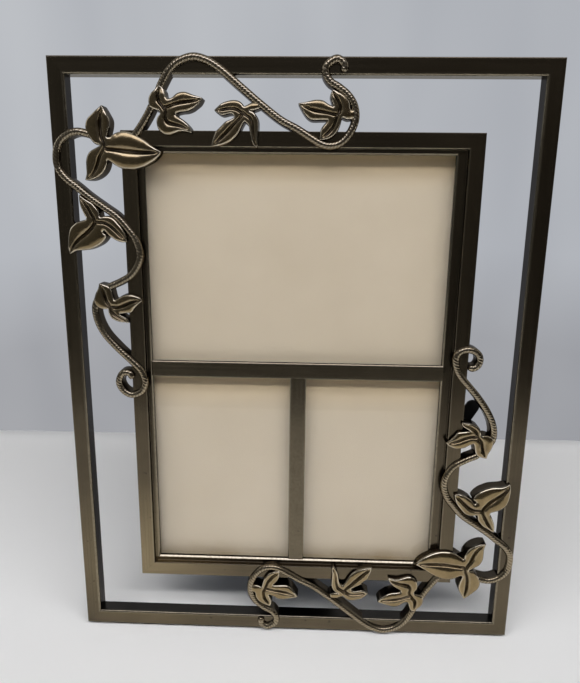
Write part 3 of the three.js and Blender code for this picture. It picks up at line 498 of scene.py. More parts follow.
def rounded(points, radii, steps=5):
    """Closed polygon with its corners rounded. Returns points, convexity (+1 outside corner, -1 inside, 0 flat)."""
    pts, kind = [], []
    n = len(points)
    area = sum(points[i][0] * points[(i + 1) % n][1] - points[(i + 1) % n][0] * points[i][1] for i in range(n))
    for i in range(n):
        p = np.array(points[i], float)
        a = np.array(points[i - 1], float) - p
        b = np.array(points[(i + 1) % n], float) - p
        la, lb = np.linalg.norm(a), np.linalg.norm(b)
        a, b = a / la, b / lb
        cross = -(a[0] * b[1] - a[1] * b[0])
        convex = 1.0 if cross * area > 0 else -1.0
        r = radii[i]
        if r <= 0:
            pts.append(p); kind.append(0.0)
            continue
        half = math.acos(max(-1, min(1, float(a @ b)))) / 2
        d = min(r / math.tan(half), 0.48 * la, 0.48 * lb)
        r = d * math.tan(half)
        bis = (a + b) / np.linalg.norm(a + b)
        c = p + bis * (r / math.sin(half))
        lead = min(0.35, 0.25 * la, 0.25 * lb)
        p0, p1 = p + a * d, p + b * d
        if la - d > lead * 2:
            pts.append(p0 + a * lead); kind.append(0.0)
        v0, v1 = p0 - c, p1 - c
        ang = math.acos(max(-1, min(1, float(v0 @ v1) / (r * r))))
        for k in range(steps + 1):
            f = k / steps
            pts.append(c + (math.sin((1 - f) * ang) * v0 + math.sin(f * ang) * v1) / math.sin(ang))
            kind.append(convex)
        if lb - d > lead * 2:
            pts.append(p1 + b * lead); kind.append(0.0)
    return np.array(pts), np.array(kind)


def profile_normals(pts):
    d = np.roll(pts, -1, 0) - np.roll(pts, 1, 0)
    n = np.stack([d[:, 1], -d[:, 0]], 1)
    n /= np.linalg.norm(n, axis=1)[:, None] + 1e-12
    area = np.sum(pts[:, 0] * np.roll(pts[:, 1], -1) - np.roll(pts[:, 0], -1) * pts[:, 1])
    return n if area > 0 else -n


def smoothstep(a, b, x):
    t = np.clip((np.asarray(x, float) - a) / (b - a), 0, 1)
    return t * t * (3 - 2 * t)


def catmull(points, step):
    """Centripetal Catmull-Rom curve through the points, sampled about every step."""
    P = np.array(points, float)
    P = np.vstack([2 * P[0] - P[1], P, 2 * P[-1] - P[-2]])
    out = []
    for i in range(1, len(P) - 2):
        p0, p1, p2, p3 = P[i - 1], P[i], P[i + 1], P[i + 2]
        t0 = 0.0
        t1 = t0 + max(np.linalg.norm(p1 - p0), 1e-6) ** 0.5
        t2 = t1 + max(np.linalg.norm(p2 - p1), 1e-6) ** 0.5
        t3 = t2 + max(np.linalg.norm(p3 - p2), 1e-6) ** 0.5
        n = max(2, int(math.ceil(np.linalg.norm(p2 - p1) / step * 4)))
        t = np.linspace(t1, t2, n, endpoint=False)[:, None]
        a1 = (t1 - t) / (t1 - t0) * p0 + (t - t0) / (t1 - t0) * p1
        a2 = (t2 - t) / (t2 - t1) * p1 + (t - t1) / (t2 - t1) * p2
        a3 = (t3 - t) / (t3 - t2) * p2 + (t - t2) / (t3 - t2) * p3
        b1 = (t2 - t) / (t2 - t0) * a1 + (t - t0) / (t2 - t0) * a2
        b2 = (t3 - t) / (t3 - t1) * a2 + (t - t1) / (t3 - t1) * a3
        out.append((t2 - t) / (t2 - t1) * b1 + (t - t1) / (t2 - t1) * b2)
    out.append(P[-2][None, :])
    Q = np.vstack(out)
    s = np.concatenate([[0], np.cumsum(np.linalg.norm(np.diff(Q, axis=0), axis=1))])
    n = max(2, int(round(s[-1] / step)))
    u = np.linspace(0, s[-1], n + 1)
    return np.stack([np.interp(u, s, Q[:, k]) for k in range(Q.shape[1])], 1)


# ------------------------------------------------------------------ bars
def mitred_bar(name, profile, kind, half_len, half_side, turn, gap, rings, relief_scale=1.0, relief_add=0.0, rub=1.0, hollow=1.0, widen=0.0, painted_sheen=0.0):
    """A bar along the top edge, swept from mitre to mitre, then turned to its side of the frame."""
    k = len(profile)
    nrm = profile_normals(profile)
    edge = np.concatenate([[0], np.cumsum(np.linalg.norm(np.diff(profile, axis=0), axis=1))])
    verts, uv = [], []
    for j in range(rings + 1):
        f = j / rings
        for i in range(k):
            u, z = profile[i]
            reach = half_len - u - gap
            x = -reach + 2 * reach * f
            if u > BAND + 0.6 * (SIGHT - BAND):
                u = u + widen
            verts.append((x, half_side - u, z))
            uv.append((x * 0.1 + turn * 3.7, edge[i] * 0.1))
    faces = []
    for j in range(rings):
        for i in range(k):
            a, b = j * k + i, j * k + (i + 1) % k
            faces.append((a, b, b + k, a + k))
    faces.append(tuple(range(k))[::-1])
    faces.append(tuple(rings * k + i for i in range(k)))
    V = np.array(verts)
    c, s = math.cos(turn), math.sin(turn)
    V = np.stack([c * V[:, 0] - s * V[:, 1], s * V[:, 0] + c * V[:, 1], V[:, 2]], 1)
    relief = smoothstep(0.35, 0.9, nrm[:, 1]) * relief_scale + relief_add
    # wear holds rubbed convex edges and also painted highlights: the strong rubs given to single rails and the added
    # sheen on a wall
    wear = rub * np.clip(kind, 0, 1) * smoothstep(-0.2, 0.55, nrm[:, 1]) + painted_sheen
    recess = hollow * np.clip(-kind, 0, 1)
    attrs = {"relief": np.tile(relief, rings + 1), "wear": np.tile(wear, rings + 1), "recess": np.tile(recess, rings + 1)}
    area = np.sum(profile[:, 0] * np.roll(profile[:, 1], -1) - np.roll(profile[:, 0], -1) * profile[:, 1])
    if area < 0:
        faces = [tuple(reversed(f)) for f in faces]
    return make(name + "_bar", V, [tuple(reversed(f)) for f in faces], M_BAR, "frame", name,
                attrs, np.array(uv), sharp_deg=40)


outer_pts, outer_kind = rounded([(0, 0), (BAR, 0), (BAR, -BAR), (0, -BAR)], [0.35, 0.80, 0.25, 0.25], 6)
outer_rub = np.where(outer_pts[:, 0] > BAR / 2, 0.40, 0.12)
inner_pts, inner_kind = rounded(
    [(0, 0), (BAND, 0), (BAND, LIP_TOP), (SIGHT - 0.58, LIP_TOP), (SIGHT, LIP_TOP - 0.50), (SIGHT, LIP_BACK), (RABBET, LIP_BACK),
     (RABBET, -INNER_DEPTH), (0, -INNER_DEPTH)],
    [0.14, 0.26, 0.22, 0.10, 0.10, 0.15, 0.12, 0.2, 0.3], 4)
on_lip = (inner_pts[:, 0] > BAND + 0.05) & (inner_pts[:, 1] > LIP_BACK)
on_step = (abs(inner_pts[:, 0] - BAND) < 0.05) & (inner_pts[:, 1] > LIP_TOP) & (inner_pts[:, 1] < -0.2)
inner_relief = np.where(on_lip, 0.80, 1.0)
inner_add = np.where(on_step, 0.30, 0.0)
# Painted highlights on top of edge wear: the top rail's band edge and the bottom rail's lip chamfer get strong rubs so
# they show as bright lines.
on_chamfer = (inner_pts[:, 0] > SIGHT - 0.62) & (inner_pts[:, 1] > LIP_TOP - 0.54)
inner_rub = np.where(inner_pts[:, 0] < 1.0, 0.10, np.where(on_lip, 0.40, 0.35))
top_rail_wear_and_highlight = np.where((inner_pts[:, 0] >= 1.0) & ~on_lip, 0.85, np.where(on_lip, 0.30, inner_rub))
bottom_rail_wear_and_highlight = np.where((inner_pts[:, 0] >= 1.0) & ~on_lip, 0.12, np.where(on_lip, 0.80, inner_rub))
inner_kind = np.where(on_chamfer, 1.0, inner_kind)

for nm, half_len, half_side, turn in (
        ("top", OUTER_W / 2, OUTER_H / 2, 0.0), ("bottom", OUTER_W / 2, OUTER_H / 2, math.pi)):
    # painted highlight: the under wall of the top outer rail gets the bright wear colour, standing for the floor
    # reflected there
    under = np.where((outer_pts[:, 0] > BAR - 0.05) & (outer_pts[:, 1] < -0.10), 1.50, 0.0)
    mitred_bar(f"outer_rail_{nm}", outer_pts, outer_kind, half_len, half_side, turn, 0.02, 24, 0.88, rub=outer_rub, painted_sheen=under if nm == "top" else 0.0)
    mitred_bar(f"inner_rail_{nm}", inner_pts, inner_kind, INNER_W / 2, INNER_H / 2, turn, 0.025, 20, inner_relief, inner_add if nm == "top" else 3.0 * inner_add, top_rail_wear_and_highlight if nm == "top" else bottom_rail_wear_and_highlight, 0.35 if nm == "top" else 0.08)
for nm, turn in (("left", math.pi / 2), ("right", -math.pi / 2)):
    mitred_bar(f"outer_stile_{nm}", outer_pts, outer_kind, OUTER_H / 2, OUTER_W / 2, turn, 0.02, 30, 0.88, rub=outer_rub)
    mitred_bar(f"inner_stile_{nm}", inner_pts, inner_kind, INNER_H / 2, INNER_W / 2, turn, 0.025, 60, inner_relief, inner_add, inner_rub, 0.35, 2.0 if nm == "right" else 0.0)


def divider(name, length_from, length_to, along_x, centre):
    half = DIV_W / 2 + 0.25
    pts, kind = rounded([(-half, LIP_TOP - 0.21), (-half + 0.34, LIP_TOP), (half - 0.34, LIP_TOP), (half, LIP_TOP - 0.21),
                         (half, LIP_BACK), (-half, LIP_BACK)], [0.08, 0.10, 0.10, 0.08, 0.12, 0.12], 4)
    nrm = profile_normals(pts)
    edge = np.concatenate([[0], np.cumsum(np.linalg.norm(np.diff(pts, axis=0), axis=1))])
    rings, k = 18, len(pts)
    V, uv = [], []
    for j in range(rings + 1):
        l = length_from + (length_to - length_from) * j / rings
        for i in range(k):
            w, z = pts[i]
            V.append((l, centre - w, z) if along_x else (centre + w, l, z))
            uv.append((l * 0.1 + 11.3 * along_x, edge[i] * 0.1 + 2.1))
    faces = []
    for j in range(rings):
        for i in range(k):
            a, b = j * k + i, j * k + (i + 1) % k
            faces.append((a, b, b + k, a + k))
    faces.append(tuple(range(k))[::-1])
    faces.append(tuple(rings * k + i for i in range(k)))
    relief = smoothstep(0.35, 0.9, nrm[:, 1])
    wear = 0.45 * np.clip(kind, 0, 1) * smoothstep(-0.2, 0.55, nrm[:, 1]) + 0.15 * relief
    attrs = {"relief": np.tile(relief, rings + 1), "wear": np.tile(wear, rings + 1), "recess": np.zeros(k * (rings + 1))}
    ob = make(name + "_bar", V, faces, M_BAR, "frame", name, attrs, np.array(uv), sharp_deg=40)
    fix_normals(ob)
    return ob


def fix_normals(ob):
    bm = bmesh.new()
    bm.from_mesh(ob.data)
    bmesh.ops.recalc_face_normals(bm, faces=bm.faces[:])
    bm.to_mesh(ob.data)
    bm.free()


sight_x, sight_y = INNER_W / 2 - SIGHT, INNER_H / 2 - SIGHT
divider("divider_horizontal", -sight_x + 0.02, sight_x - 0.02, True, DIV_Y)
divider("divider_vertical", -sight_y + 0.02, DIV_Y - DIV_W / 2 - 0.02, False, 0.0)
for ob in [o for o in scene.objects if o.name.endswith("_bar")]:
    fix_normals(ob)


# ------------------------------------------------------------------ cast vines
def nearest(points, lines):
    """Distance to the nearest of several polylines, which one, and how far along it."""
    P = np.asarray(points, float)
    best = np.full(len(P), 1e9)
    which = np.zeros(len(P), int)
    along = np.zeros(len(P))
    for li, L in enumerate(lines):
        A, B = L[:-1], L[1:]
        D = B - A
        ll = np.maximum((D * D).sum(1), 1e-12)
        start = np.concatenate([[0], np.cumsum(np.sqrt(ll))[:-1]])
        for lo in range(0, len(P), 4000):
            Q = P[lo:lo + 4000]
            t = np.clip(((Q[:, None, :] - A) * D).sum(2) / ll, 0, 1)
            d2 = ((Q[:, None, :] - A - t[..., None] * D) ** 2).sum(2)
            k = d2.argmin(1)
            r = np.arange(len(Q))
            d = np.sqrt(d2[r, k])
            s = start[k] + t[r, k] * np.sqrt(ll[k])
            better = d < best[lo:lo + 4000]
            best[lo:lo + 4000] = np.where(better, d, best[lo:lo + 4000])
            which[lo:lo + 4000] = np.where(better, li, which[lo:lo + 4000])
            along[lo:lo + 4000] = np.where(better, s, along[lo:lo + 4000])
    return best, which, along


def inside(points, loop):
    P = np.asarray(points, float)
    x, y = P[:, 0], P[:, 1]
    hit = np.zeros(len(P), bool)
    n = len(loop)
    for i in range(n):
        x0, y0 = loop[i]
        x1, y1 = loop[(i + 1) % n]
        if y0 == y1:
            continue
        cross = ((y0 > y) != (y1 > y)) & (x < (x1 - x0) * (y - y0) / (y1 - y0) + x0)
        hit ^= cross
    return hit


def thin_out(points, keep_first, spacing):
    """Drops points closer than spacing to one already kept."""
    kept, cells = [], {}
    for i, p in enumerate(points):
        c = (int(math.floor(p[0] / spacing)), int(math.floor(p[1] / spacing)))
        near = False
        if i >= keep_first:
            for dx in (-1, 0, 1):
                for dy in (-1, 0, 1):
                    for q in cells.get((c[0] + dx, c[1] + dy), ()):
                        if (q[0] - p[0]) ** 2 + (q[1] - p[1]) ** 2 < spacing * spacing:
                            near = True
        if not near:
            kept.append(p)
            cells.setdefault(c, []).append(p)
    return np.array(kept)


def leaf_loop(outline):
    """Closed outline: smooth between tips and notches, a little softened at them."""
    n = len(outline)
    corners = [i for i, p in enumerate(outline) if p[2]]
    parts = []
    for c, d in zip(corners, corners[1:] + [corners[0] + n]):
        sec = [outline[i % n][:2] for i in range(c, d + 1)]
        parts.append(catmull(sec, 0.20)[:-1])
    loop = np.vstack(parts)
    for _ in range(3):
        loop = 0.5 * loop + 0.25 * (np.roll(loop, 1, 0) + np.roll(loop, -1, 0))
    mid = 0.5 * (loop.min(0) + loop.max(0))
    loop = mid + (loop - mid) * 1.035
    area = np.sum(loop[:, 0] * np.roll(loop[:, 1], -1) - np.roll(loop[:, 0], -1) * loop[:, 1])
    return loop if area > 0 else loop[::-1].copy()


def loop_normals(loop, spread=1):
    t = np.roll(loop, -spread, 0) - np.roll(loop, spread, 0)
    n = np.stack([-t[:, 1], t[:, 0]], 1)
    return n / (np.linalg.norm(n, axis=1)[:, None] + 1e-9)


def leaf_height(P, loop, veins, seed):
    """Height of the leaf's face over the frame, with its wear, hollow and relief."""
    closed = np.vstack([loop, loop[:1]])
    e, _, _ = nearest(P, [closed])
    m, lobe, s = nearest(P, veins)
    lengths = np.array([np.linalg.norm(np.diff(v, axis=0), axis=1).sum() for v in veins])
    to_tip = lengths[lobe] - s
    half = e + m
    size = smoothstep(0.8, 4.0, half)
    z = np.full(len(P), LEAF_TOP)
    # rounded edge
    edge = 0.28
    z -= edge * (1 - np.sqrt(np.clip(1 - np.clip(1 - e / edge, 0, 1) ** 2, 0, 1)))
    # each cheek is a low pillow: it falls to the rim on one side and into the vein on the other
    vein = smoothstep(0.3, 2.6, to_tip) * smoothstep(0.5, 1.6, half)
    x = e / np.maximum(half, 0.05)
    arch = LEAF_PILLOW * np.clip(half, 0.6, 6.5)
    out = np.clip(1 - 2 * x, 0, 1)
    inn = np.clip(2 * x - 1, 0, 1)
    z -= 0.85 * arch * out ** 2.05
    bevel = np.clip(0.22 * half, 0.22, 0.70)
    z -= 0.34 * bevel * np.clip(1 - e / bevel, 0, 1) ** 2
    z -= 1.05 * arch * vein * inn ** 2.2
    # vein: a narrow cut
    z -= LEAF_CUT * vein * (0.45 + 0.55 * size) * (1 - smoothstep(0.10, 0.50 + 0.30 * size, m))
    z -= 0.40 * (1 - smoothstep(0.0, 3.0, to_tip))
    z = np.maximum(z, 0.45)
    wob = np.array([noise.noise(Vector((p[0] * 0.45 + seed, p[1] * 0.45, 3.1))) for p in P])
    z += 0.04 * wob * smoothstep(0.2, 0.8, e)
    rim_crest = np.exp(-((e - 0.30) / 0.30) ** 2)
    crest = np.exp(-((m - 0.80 - 0.35 * size) / 0.32) ** 2) * vein
    wear = np.clip(0.62 * rim_crest + 0.14 * crest, 0, 1)
    middle = np.exp(-((x - 0.52) / 0.22) ** 2)
    recess = np.clip(0.12 * middle * size + 0.90 * (1 - smoothstep(0.20, 0.50 + 0.45 * size, m)) * vein, 0, 1)
    relief = smoothstep(0.02, 0.30, e)
    return z, wear, recess, relief


LEAF_PILLOW, LEAF_CUT = 0.158, 0.95


def reach(P):
    """Where a casting ends below: on the face of the bar it crosses, or back between the frames."""
    ax, ay = abs(P[:, 0]), abs(P[:, 1])
    clear = (ax < OUTER_W / 2 - BAR - 0.12) & (ay < OUTER_H / 2 - BAR - 0.12)
    clear &= (ax > INNER_W / 2 + 0.12) | (ay > INNER_H / 2 + 0.12)
    on_lip = (ax < INNER_W / 2 - BAND - 0.12) & (ay < INNER_H / 2 - BAND - 0.12)
    return np.where(clear, VINE_BACK, np.where(on_lip, LIP_TOP + 0.12, VINE_FOOT))


def leaf_geometry(spec, seed):
    loop = leaf_loop(spec["outline"])
    hub = np.array(spec["hub"])
    veins = [catmull([hub] + [np.array(p) for p in rib], 0.25) for rib in spec["ribs"]]
    closed = np.vstack([loop, loop[:1]])
    inward = loop_normals(loop)
    pool = [loop]
    for off in (0.07, 0.17, 0.30, 0.45, 0.63, 0.85):
        Q = loop + inward * off
        e, _, _ = nearest(Q, [closed])
        pool.append(Q[(e > off * 0.94) & inside(Q, loop)])
    for v in veins:
        t = np.gradient(v, axis=0)
        n = np.stack([-t[:, 1], t[:, 0]], 1)
        n /= np.linalg.norm(n, axis=1)[:, None] + 1e-9
        for off in (0.0, 0.2, -0.2, 0.42, -0.42, 0.68, -0.68, 0.92, -0.92, 1.2, -1.2):
            Q = v + n * off
            e, _, _ = nearest(Q, [closed])
            m, _, _ = nearest(Q, veins)
            pool.append(Q[(e > 0.30) & (m > abs(off) * 0.94) & inside(Q, loop)])
    lo, hi = loop.min(0), loop.max(0)
    step = 0.36
    rows = []
    for j, y in enumerate(np.arange(lo[1], hi[1], step * 0.866)):
        xs = np.arange(lo[0] + (0.5 * step if j % 2 else 0), hi[0], step)
        rows.append(np.stack([xs, np.full(len(xs), y)], 1))
    G = np.vstack(rows)
    G = G[inside(G, loop)]
    e, _, _ = nearest(G, [closed])
    m, _, _ = nearest(G, veins)
    pool.append(G[(e > 0.95) & (m > 1.35)])
    P = thin_out(np.vstack(pool), len(loop), 0.085)
    nl = len(loop)
    v2, _, f2, ov, _, _ = delaunay_2d_cdt([Vector(p) for p in P], [], [list(range(nl))], 1, 1e-6)
    V2 = np.array([(v.x, v.y) for v in v2])
    back = {}
    for i, src in enumerate(ov):
        for k in src:
            back[k] = i
    z, wear, recess, relief = leaf_height(V2, loop, veins, seed)
    ring = [back[k] for k in range(nl)]
    return np.column_stack([V2, z]), [tuple(f) for f in f2], ring, loop, (wear, recess, relief)


def leaf_body(V, cap, ring, loop, marks, place):
    """The whole casting in its place: face, walls and underside."""
    V2, z = V[:, :2], V[:, 2]
    nl, nv = len(loop), len(V)
    flat = lambda P: place(np.column_stack([P, np.zeros(len(P))]))
    verts, faces = [place(V)], list(cap)
    attr = {k: [v] for k, v in zip(("wear", "recess", "relief"), marks)}
    zt = z[ring]
    foot = reach(flat(loop))
    outward = -loop_normals(loop, 3)
    base, prev = nv, ring
    for f, off, hol in ((0.88, 0.035, 0.05), (0.62, 0.07, 0.1), (0.34, 0.10, 0.15), (0.10, 0.12, 0.3), (0.02, 0.08, 0.45)):
        verts.append(place(np.column_stack([loop + outward * off, foot + (zt - foot) * f])))
        attr["wear"].append(np.zeros(nl))
        attr["recess"].append(np.full(nl, hol))
        attr["relief"].append(np.full(nl, 0.06))
        cur = list(range(base, base + nl))
        for i in range(nl):
            j = (i + 1) % nl
            faces.append((prev[i], cur[i], cur[j], prev[j]))
        base += nl
        prev = cur
    under = flat(V2)
    verts.append(np.column_stack([under[:, :2], reach(under)]))
    attr["wear"].append(np.zeros(nv))
    attr["recess"].append(np.full(nv, 0.4))
    attr["relief"].append(np.full(nv, 0.06))
    faces += [tuple(base + i for i in reversed(f)) for f in cap]
    for i in range(nl):
        j = (i + 1) % nl
        faces.append((prev[i], base + ring[i], base + ring[j], prev[j]))
    return np.vstack(verts), faces, {k: np.concatenate(v) for k, v in attr.items()}


def place_lower(V):
    c, s = math.cos(LOWER_TURN), math.sin(LOWER_TURN)
    return np.stack([c * V[:, 0] - s * V[:, 1] + LOWER_SHIFT[0], s * V[:, 0] + c * V[:, 1] + LOWER_SHIFT[1], V[:, 2]], 1)


PLACES = {"upper_vine": lambda V: V, "lower_vine": place_lower}
LEAF_PLACES = {"upper_vine": lambda V: V, "lower_vine": lambda V: place_lower(V) + (0.0, 0.6, 0.0)}
leaf_loops = []
for li, (leaf, spec) in enumerate(LEAVES.items()):
    V, cap, ring, loop, marks = leaf_geometry(spec, 5.0 * li)
    leaf_loops.append(loop)
    for vine, place in LEAF_PLACES.items():
        W, faces, attrs = leaf_body(V, cap, ring, loop, marks, place)
        ob = make(f"{vine}_{leaf}_casting", W, faces, M_VINE, "frame", f"{vine}_{leaf}", attrs)
        fix_normals(ob)


def stem_geometry(points, seed, smooth_from, smooth_to, place):
    """Ribbed stem: upright walls under a half-round top with slanting bark-like ribs."""
    C = catmull(points, 0.16)
    T = np.gradient(C, axis=0)
    T /= np.linalg.norm(T, axis=1)[:, None]
    N = np.stack([-T[:, 1], T[:, 0]], 1)
    s = np.concatenate([[0], np.cumsum(np.linalg.norm(np.diff(C, axis=0), axis=1))])
    L = s[-1]
    under = np.zeros(len(C))
    for loop in leaf_loops:
        d, _, _ = nearest(C, [np.vstack([loop, loop[:1]])])
        under = np.maximum(under, np.where(inside(C, loop), smoothstep(0.2, 1.6, d), 0))
    wall = [(-1.30, 0.0), (-1.31, 0.12), (-1.28, 0.42), (-1.25, 0.66), (-1.22, 0.78)]
    arc = np.linspace(math.pi, 0, 15)
    k = len(wall) * 2 + len(arc)
    verts, uv = [], []
    wear, recess, relief = [], [], []
    feet = [reach(place(np.column_stack([C + N * w, np.zeros(len(C))]))) for w in (-1.3, 1.3)]
    jit = np.array([noise.noise(Vector((x * 0.33, seed, 0.7))) for x in s])
    amp = np.array([noise.noise(Vector((x * 0.16, seed + 9.0, 2.7))) for x in s])
    for i in range(len(C)):
        soft = smoothstep(smooth_from - 6, smooth_from, s[i]) * (1 - smoothstep(smooth_to, smooth_to + 6, s[i]))
        A = STEM_RIB * max(0.12, 0.85 + 0.75 * amp[i]) * (1 - 0.40 * soft)
        end = min(1.0, max(0.0, (s[i] - (L - 1.25)) / 1.25))
        tip = math.sqrt(max(0.0, 1 - end * end))
        shrink = 0.12 + 0.88 * tip
        top = STEM_TOP - 0.7 * under[i] - 0.9 * (1 - tip) - 0.06
        rad = 1.20
        zc = top - rad * shrink
        ring = []
        for w, f in wall:
            ring.append((w * shrink, feet[0][i] + (zc - feet[0][i]) * f / 0.80, 0.0, 1.0, 0.0))
        for th in arc:
            ph = 2 * math.pi * s[i] / STEM_PITCH + STEM_SLANT * (th - math.pi / 2) + 2.2 * jit[i]
            f = abs(math.sin(ph / 2))
            fade = math.sin(th) ** 0.55 if 0 < th < math.pi else 0.0
            fine = 0.035 * noise.noise(Vector((s[i] * 2.1, th * 2.0 + seed, 1.3)))
            d = (A * (f ** 0.8 - 0.72) + fine) * fade * tip
            ring.append(((rad * shrink + d) * math.cos(th), zc + (rad * shrink + d) * math.sin(th), fade, f, 1.0))
        for w, f in reversed(wall):
            ring.append((-w * shrink, feet[1][i] + (zc - feet[1][i]) * f / 0.80, 0.0, 1.0, 0.0))
        for j, (w, z, fade, f, on_top) in enumerate(ring):
            w *= STEM_WIDE
            verts.append((C[i, 0] + N[i, 0] * w, C[i, 1] + N[i, 1] * w, z))
            uv.append((s[i] * 0.1, j * 0.03))
            deep = smoothstep(0.15, 0.75, A / STEM_RIB)
            wear.append(fade * (0.08 + 0.25 * smoothstep(0.50, 0.95, f)) if on_top else 0.0)
            recess.append(0.55 * fade * (1 - smoothstep(0.10, 0.55, f)) * deep if on_top else 0.15)
            relief.append(0.18 + 0.46 * fade if on_top else 0.05)
    n = len(C)
    faces = []
    for i in range(n - 1):
        for j in range(k):
            a, b = i * k + j, i * k + (j + 1) % k
            faces.append((a, b, b + k, a + k))
    faces.append(tuple(range(k))[::-1])
    faces.append(tuple((n - 1) * k + j for j in range(k)))
    return np.array(verts), faces, {"wear": wear, "recess": recess, "relief": relief}, np.array(uv)


STEM_RIB, STEM_SLANT, STEM_PITCH, STEM_WIDE = 0.076, 3.3, 1.25, 1.17
# The lower vine's curl is wound a little tighter than the upper one's.
TIGHT_CURL = [(-75.0, 9.6), (-70.9, 4.8), (-67.2, 0.5), (-65.4, -2.9), (-64.7, -5.8), (-65.0, -8.2), (-66.5, -9.9), (-69.1, -10.7),
              (-72.0, -10.1), (-74.0, -8.3), (-74.4, -5.9), (-73.4, -3.8), (-71.6, -3.0), (-70.2, -3.9)]
for stem, pts, seed, a, b in (("stem_across", STEM_ACROSS, 1.0, 24.0, 58.0), ("stem_down", STEM_DOWN, 4.0, 8.0, 24.0)):
    for vine, place in PLACES.items():
        line = STEM_DOWN[:-11] + TIGHT_CURL if (vine, stem) == ("lower_vine", "stem_down") else pts
        V, faces, attrs, uv = stem_geometry(line, seed, a, b, place)
        ob = make(f"{vine}_{stem}_casting", place(V), faces, M_VINE, "frame", f"{vine}_{stem}", attrs, uv)
        fix_normals(ob)


# ------------------------------------------------------------------ glass, insert, back
def dress(name, mat):
    o = NODES[name]
    o.data.materials.clear()
    o.data.materials.append(mat)


dress("glass_pane", M_GLASS)
dress("display_insert", M_PAPER)


def slab(outline, z0, z1, edge, steps=4, foot=None):
    """Flat plate of a convex outline (anticlockwise) with rounded edges. foot(z) moves the lowest points of each layer."""
    P = np.array(outline, float)
    n = len(P)
    a = P - np.roll(P, 1, 0)
    b = np.roll(P, -1, 0) - P
    a /= np.linalg.norm(a, axis=1)[:, None]
    b /= np.linalg.norm(b, axis=1)[:, None]
    na = np.stack([-a[:, 1], a[:, 0]], 1)
    nb = np.stack([-b[:, 1], b[:, 0]], 1)
    inn = (na + nb) / (1 + (na * nb).sum(1))[:, None]
    rings = []
    for k in range(steps + 1):
        t = math.pi / 2 * k / steps
        rings.append((edge * (1 - math.sin(t)), z1 - edge * (1 - math.cos(t))))
    for k in range(steps + 1):
        t = math.pi / 2 * k / steps
        rings.append((edge * (1 - math.cos(t)), z0 + edge * (1 - math.sin(t))))
    V, wear = [], []
    for inset, z in rings:
        Q = P + inn * inset
        for i in range(n):
            x, y = Q[i]
            if foot is not None and P[i, 1] < -100:
                y = foot(z)
            V.append((x, y, z))
            wear.append(1.0 if 0.05 * edge < inset < 0.95 * edge else 0.0)
    faces = []
    for r in range(len(rings) - 1):
        for i in range(n):
            j = (i + 1) % n
            faces.append((r * n + i, (r + 1) * n + i, (r + 1) * n + j, r * n + j))
    faces.append(tuple(range(n)))
    faces.append(tuple(reversed([(len(rings) - 1) * n + i for i in range(n)])))
    return np.array(V), faces, np.array(wear)


def corner_rounded(x0, x1, y0, y1, r, steps=6):
    out = []
    for cx, cy, a0 in ((x1 - r, y0 + r, -90), (x1 - r, y1 - r, 0), (x0 + r, y1 - r, 90), (x0 + r, y0 + r, 180)):
        for k in range(steps + 1):
            a = math.radians(a0 + 90 * k / steps)
            out.append((cx + r * math.cos(a), cy + r * math.sin(a)))
    return out


def lathe(profile, steps=40):
    """Turned form about its own z axis from (radius, height) pairs that start and end on the axis."""
    V, faces = [(0, 0, profile[0][1])], []
    body = profile[1:-1]
    for r, h in body:
        for k in range(steps):
            a = 2 * math.pi * k / steps
            V.append((r * math.cos(a), r * math.sin(a), h))
    V.append((0, 0, profile[-1][1]))
    last = len(V) - 1
    for k in range(steps):
        faces.append((0, 1 + k, 1 + (k + 1) % steps))
    for i in range(len(body) - 1):
        for k in range(steps):
            a, b = 1 + i * steps + k, 1 + i * steps + (k + 1) % steps
            faces.append((a, a + steps, b + steps, b))
    o = 1 + (len(body) - 1) * steps
    for k in range(steps):
        faces.append((o + k, last, o + (k + 1) % steps))
    return np.array(V, float), faces


def turned_x(V, angle):
    c, s = math.cos(angle), math.sin(angle)
    return np.stack([V[:, 0], c * V[:, 1] - s * V[:, 2], s * V[:, 1] + c * V[:, 2]], 1)


def leg_frame(V):
    return turned_x(np.asarray(V, float), LEG_OPEN) + np.array([0, HINGE_Y, HINGE_Z])


def rivet_head(r, h):
    """Domed rivet with a short shank; its dome stands along -z."""
    prof = [(0.0, -h)]
    for k in range(1, 9):
        t = math.pi / 2 * k / 8
        prof.append((r * math.sin(t), -h * (0.18 + 0.82 * math.cos(t))))
    prof += [(r, -0.06 * h), (r * 0.97, 0.0), (0.98, 0.0), (0.98, 2.7), (0.0, 2.7)]
    return lathe(prof)


# Backing board
V, faces, wear = slab(corner_rounded(-PANE_W / 2 + 0.25, PANE_W / 2 - 0.25, -PANE_H / 2 + 0.25, PANE_H / 2 - 0.25, 1.2),
                      BOARD_BACK, BOARD_FRONT, 0.7)
ob = make("backing_board_velvet", V, faces, M_VELVET, "frame", "backing_board", {"wear": wear}, sharp_deg=50)
fix_normals(ob)

# Easel leg
LEG_IN, LEG_OUT = 3.3, 0.8


def leg_foot(z):
    # local y where this layer of the leg meets the floor
    c, s = math.cos(LEG_OPEN), math.sin(LEG_OPEN)
    k0 = ORIGIN[2] * 1000 + C15 * (HINGE_Y - z * s) + S15 * (HINGE_Z + z * c)
    k1 = C15 * c + S15 * s
    return (0.05 - k0) / k1


yf = leg_foot((LEG_IN + LEG_OUT) / 2)
half_at = lambda y: 15 + (29 - 15) * (-8 - y) / 160
left = [(-half_at(y), y) for y in np.linspace(-8, yf, 9)]
right = [(half_at(y), y) for y in np.linspace(yf, -8, 9)]
arch = [(15 - 3 + 3 * math.cos(a), -8 + 3 * math.sin(a)) for a in np.linspace(0, math.pi / 2, 6)[1:]]
arch2 = [(-15 + 3 - 3 * math.sin(a), -8 + 3 * math.cos(a)) for a in np.linspace(0, math.pi / 2, 6)[:-1]]
V, faces, wear = slab(left + right + arch + arch2, LEG_OUT, LEG_IN, 0.6, foot=leg_foot)
ob = make("easel_leg_velvet", leg_frame(V), faces, M_VELVET, "easel", "easel_leg", {"wear": wear}, sharp_deg=50)
fix_normals(ob)


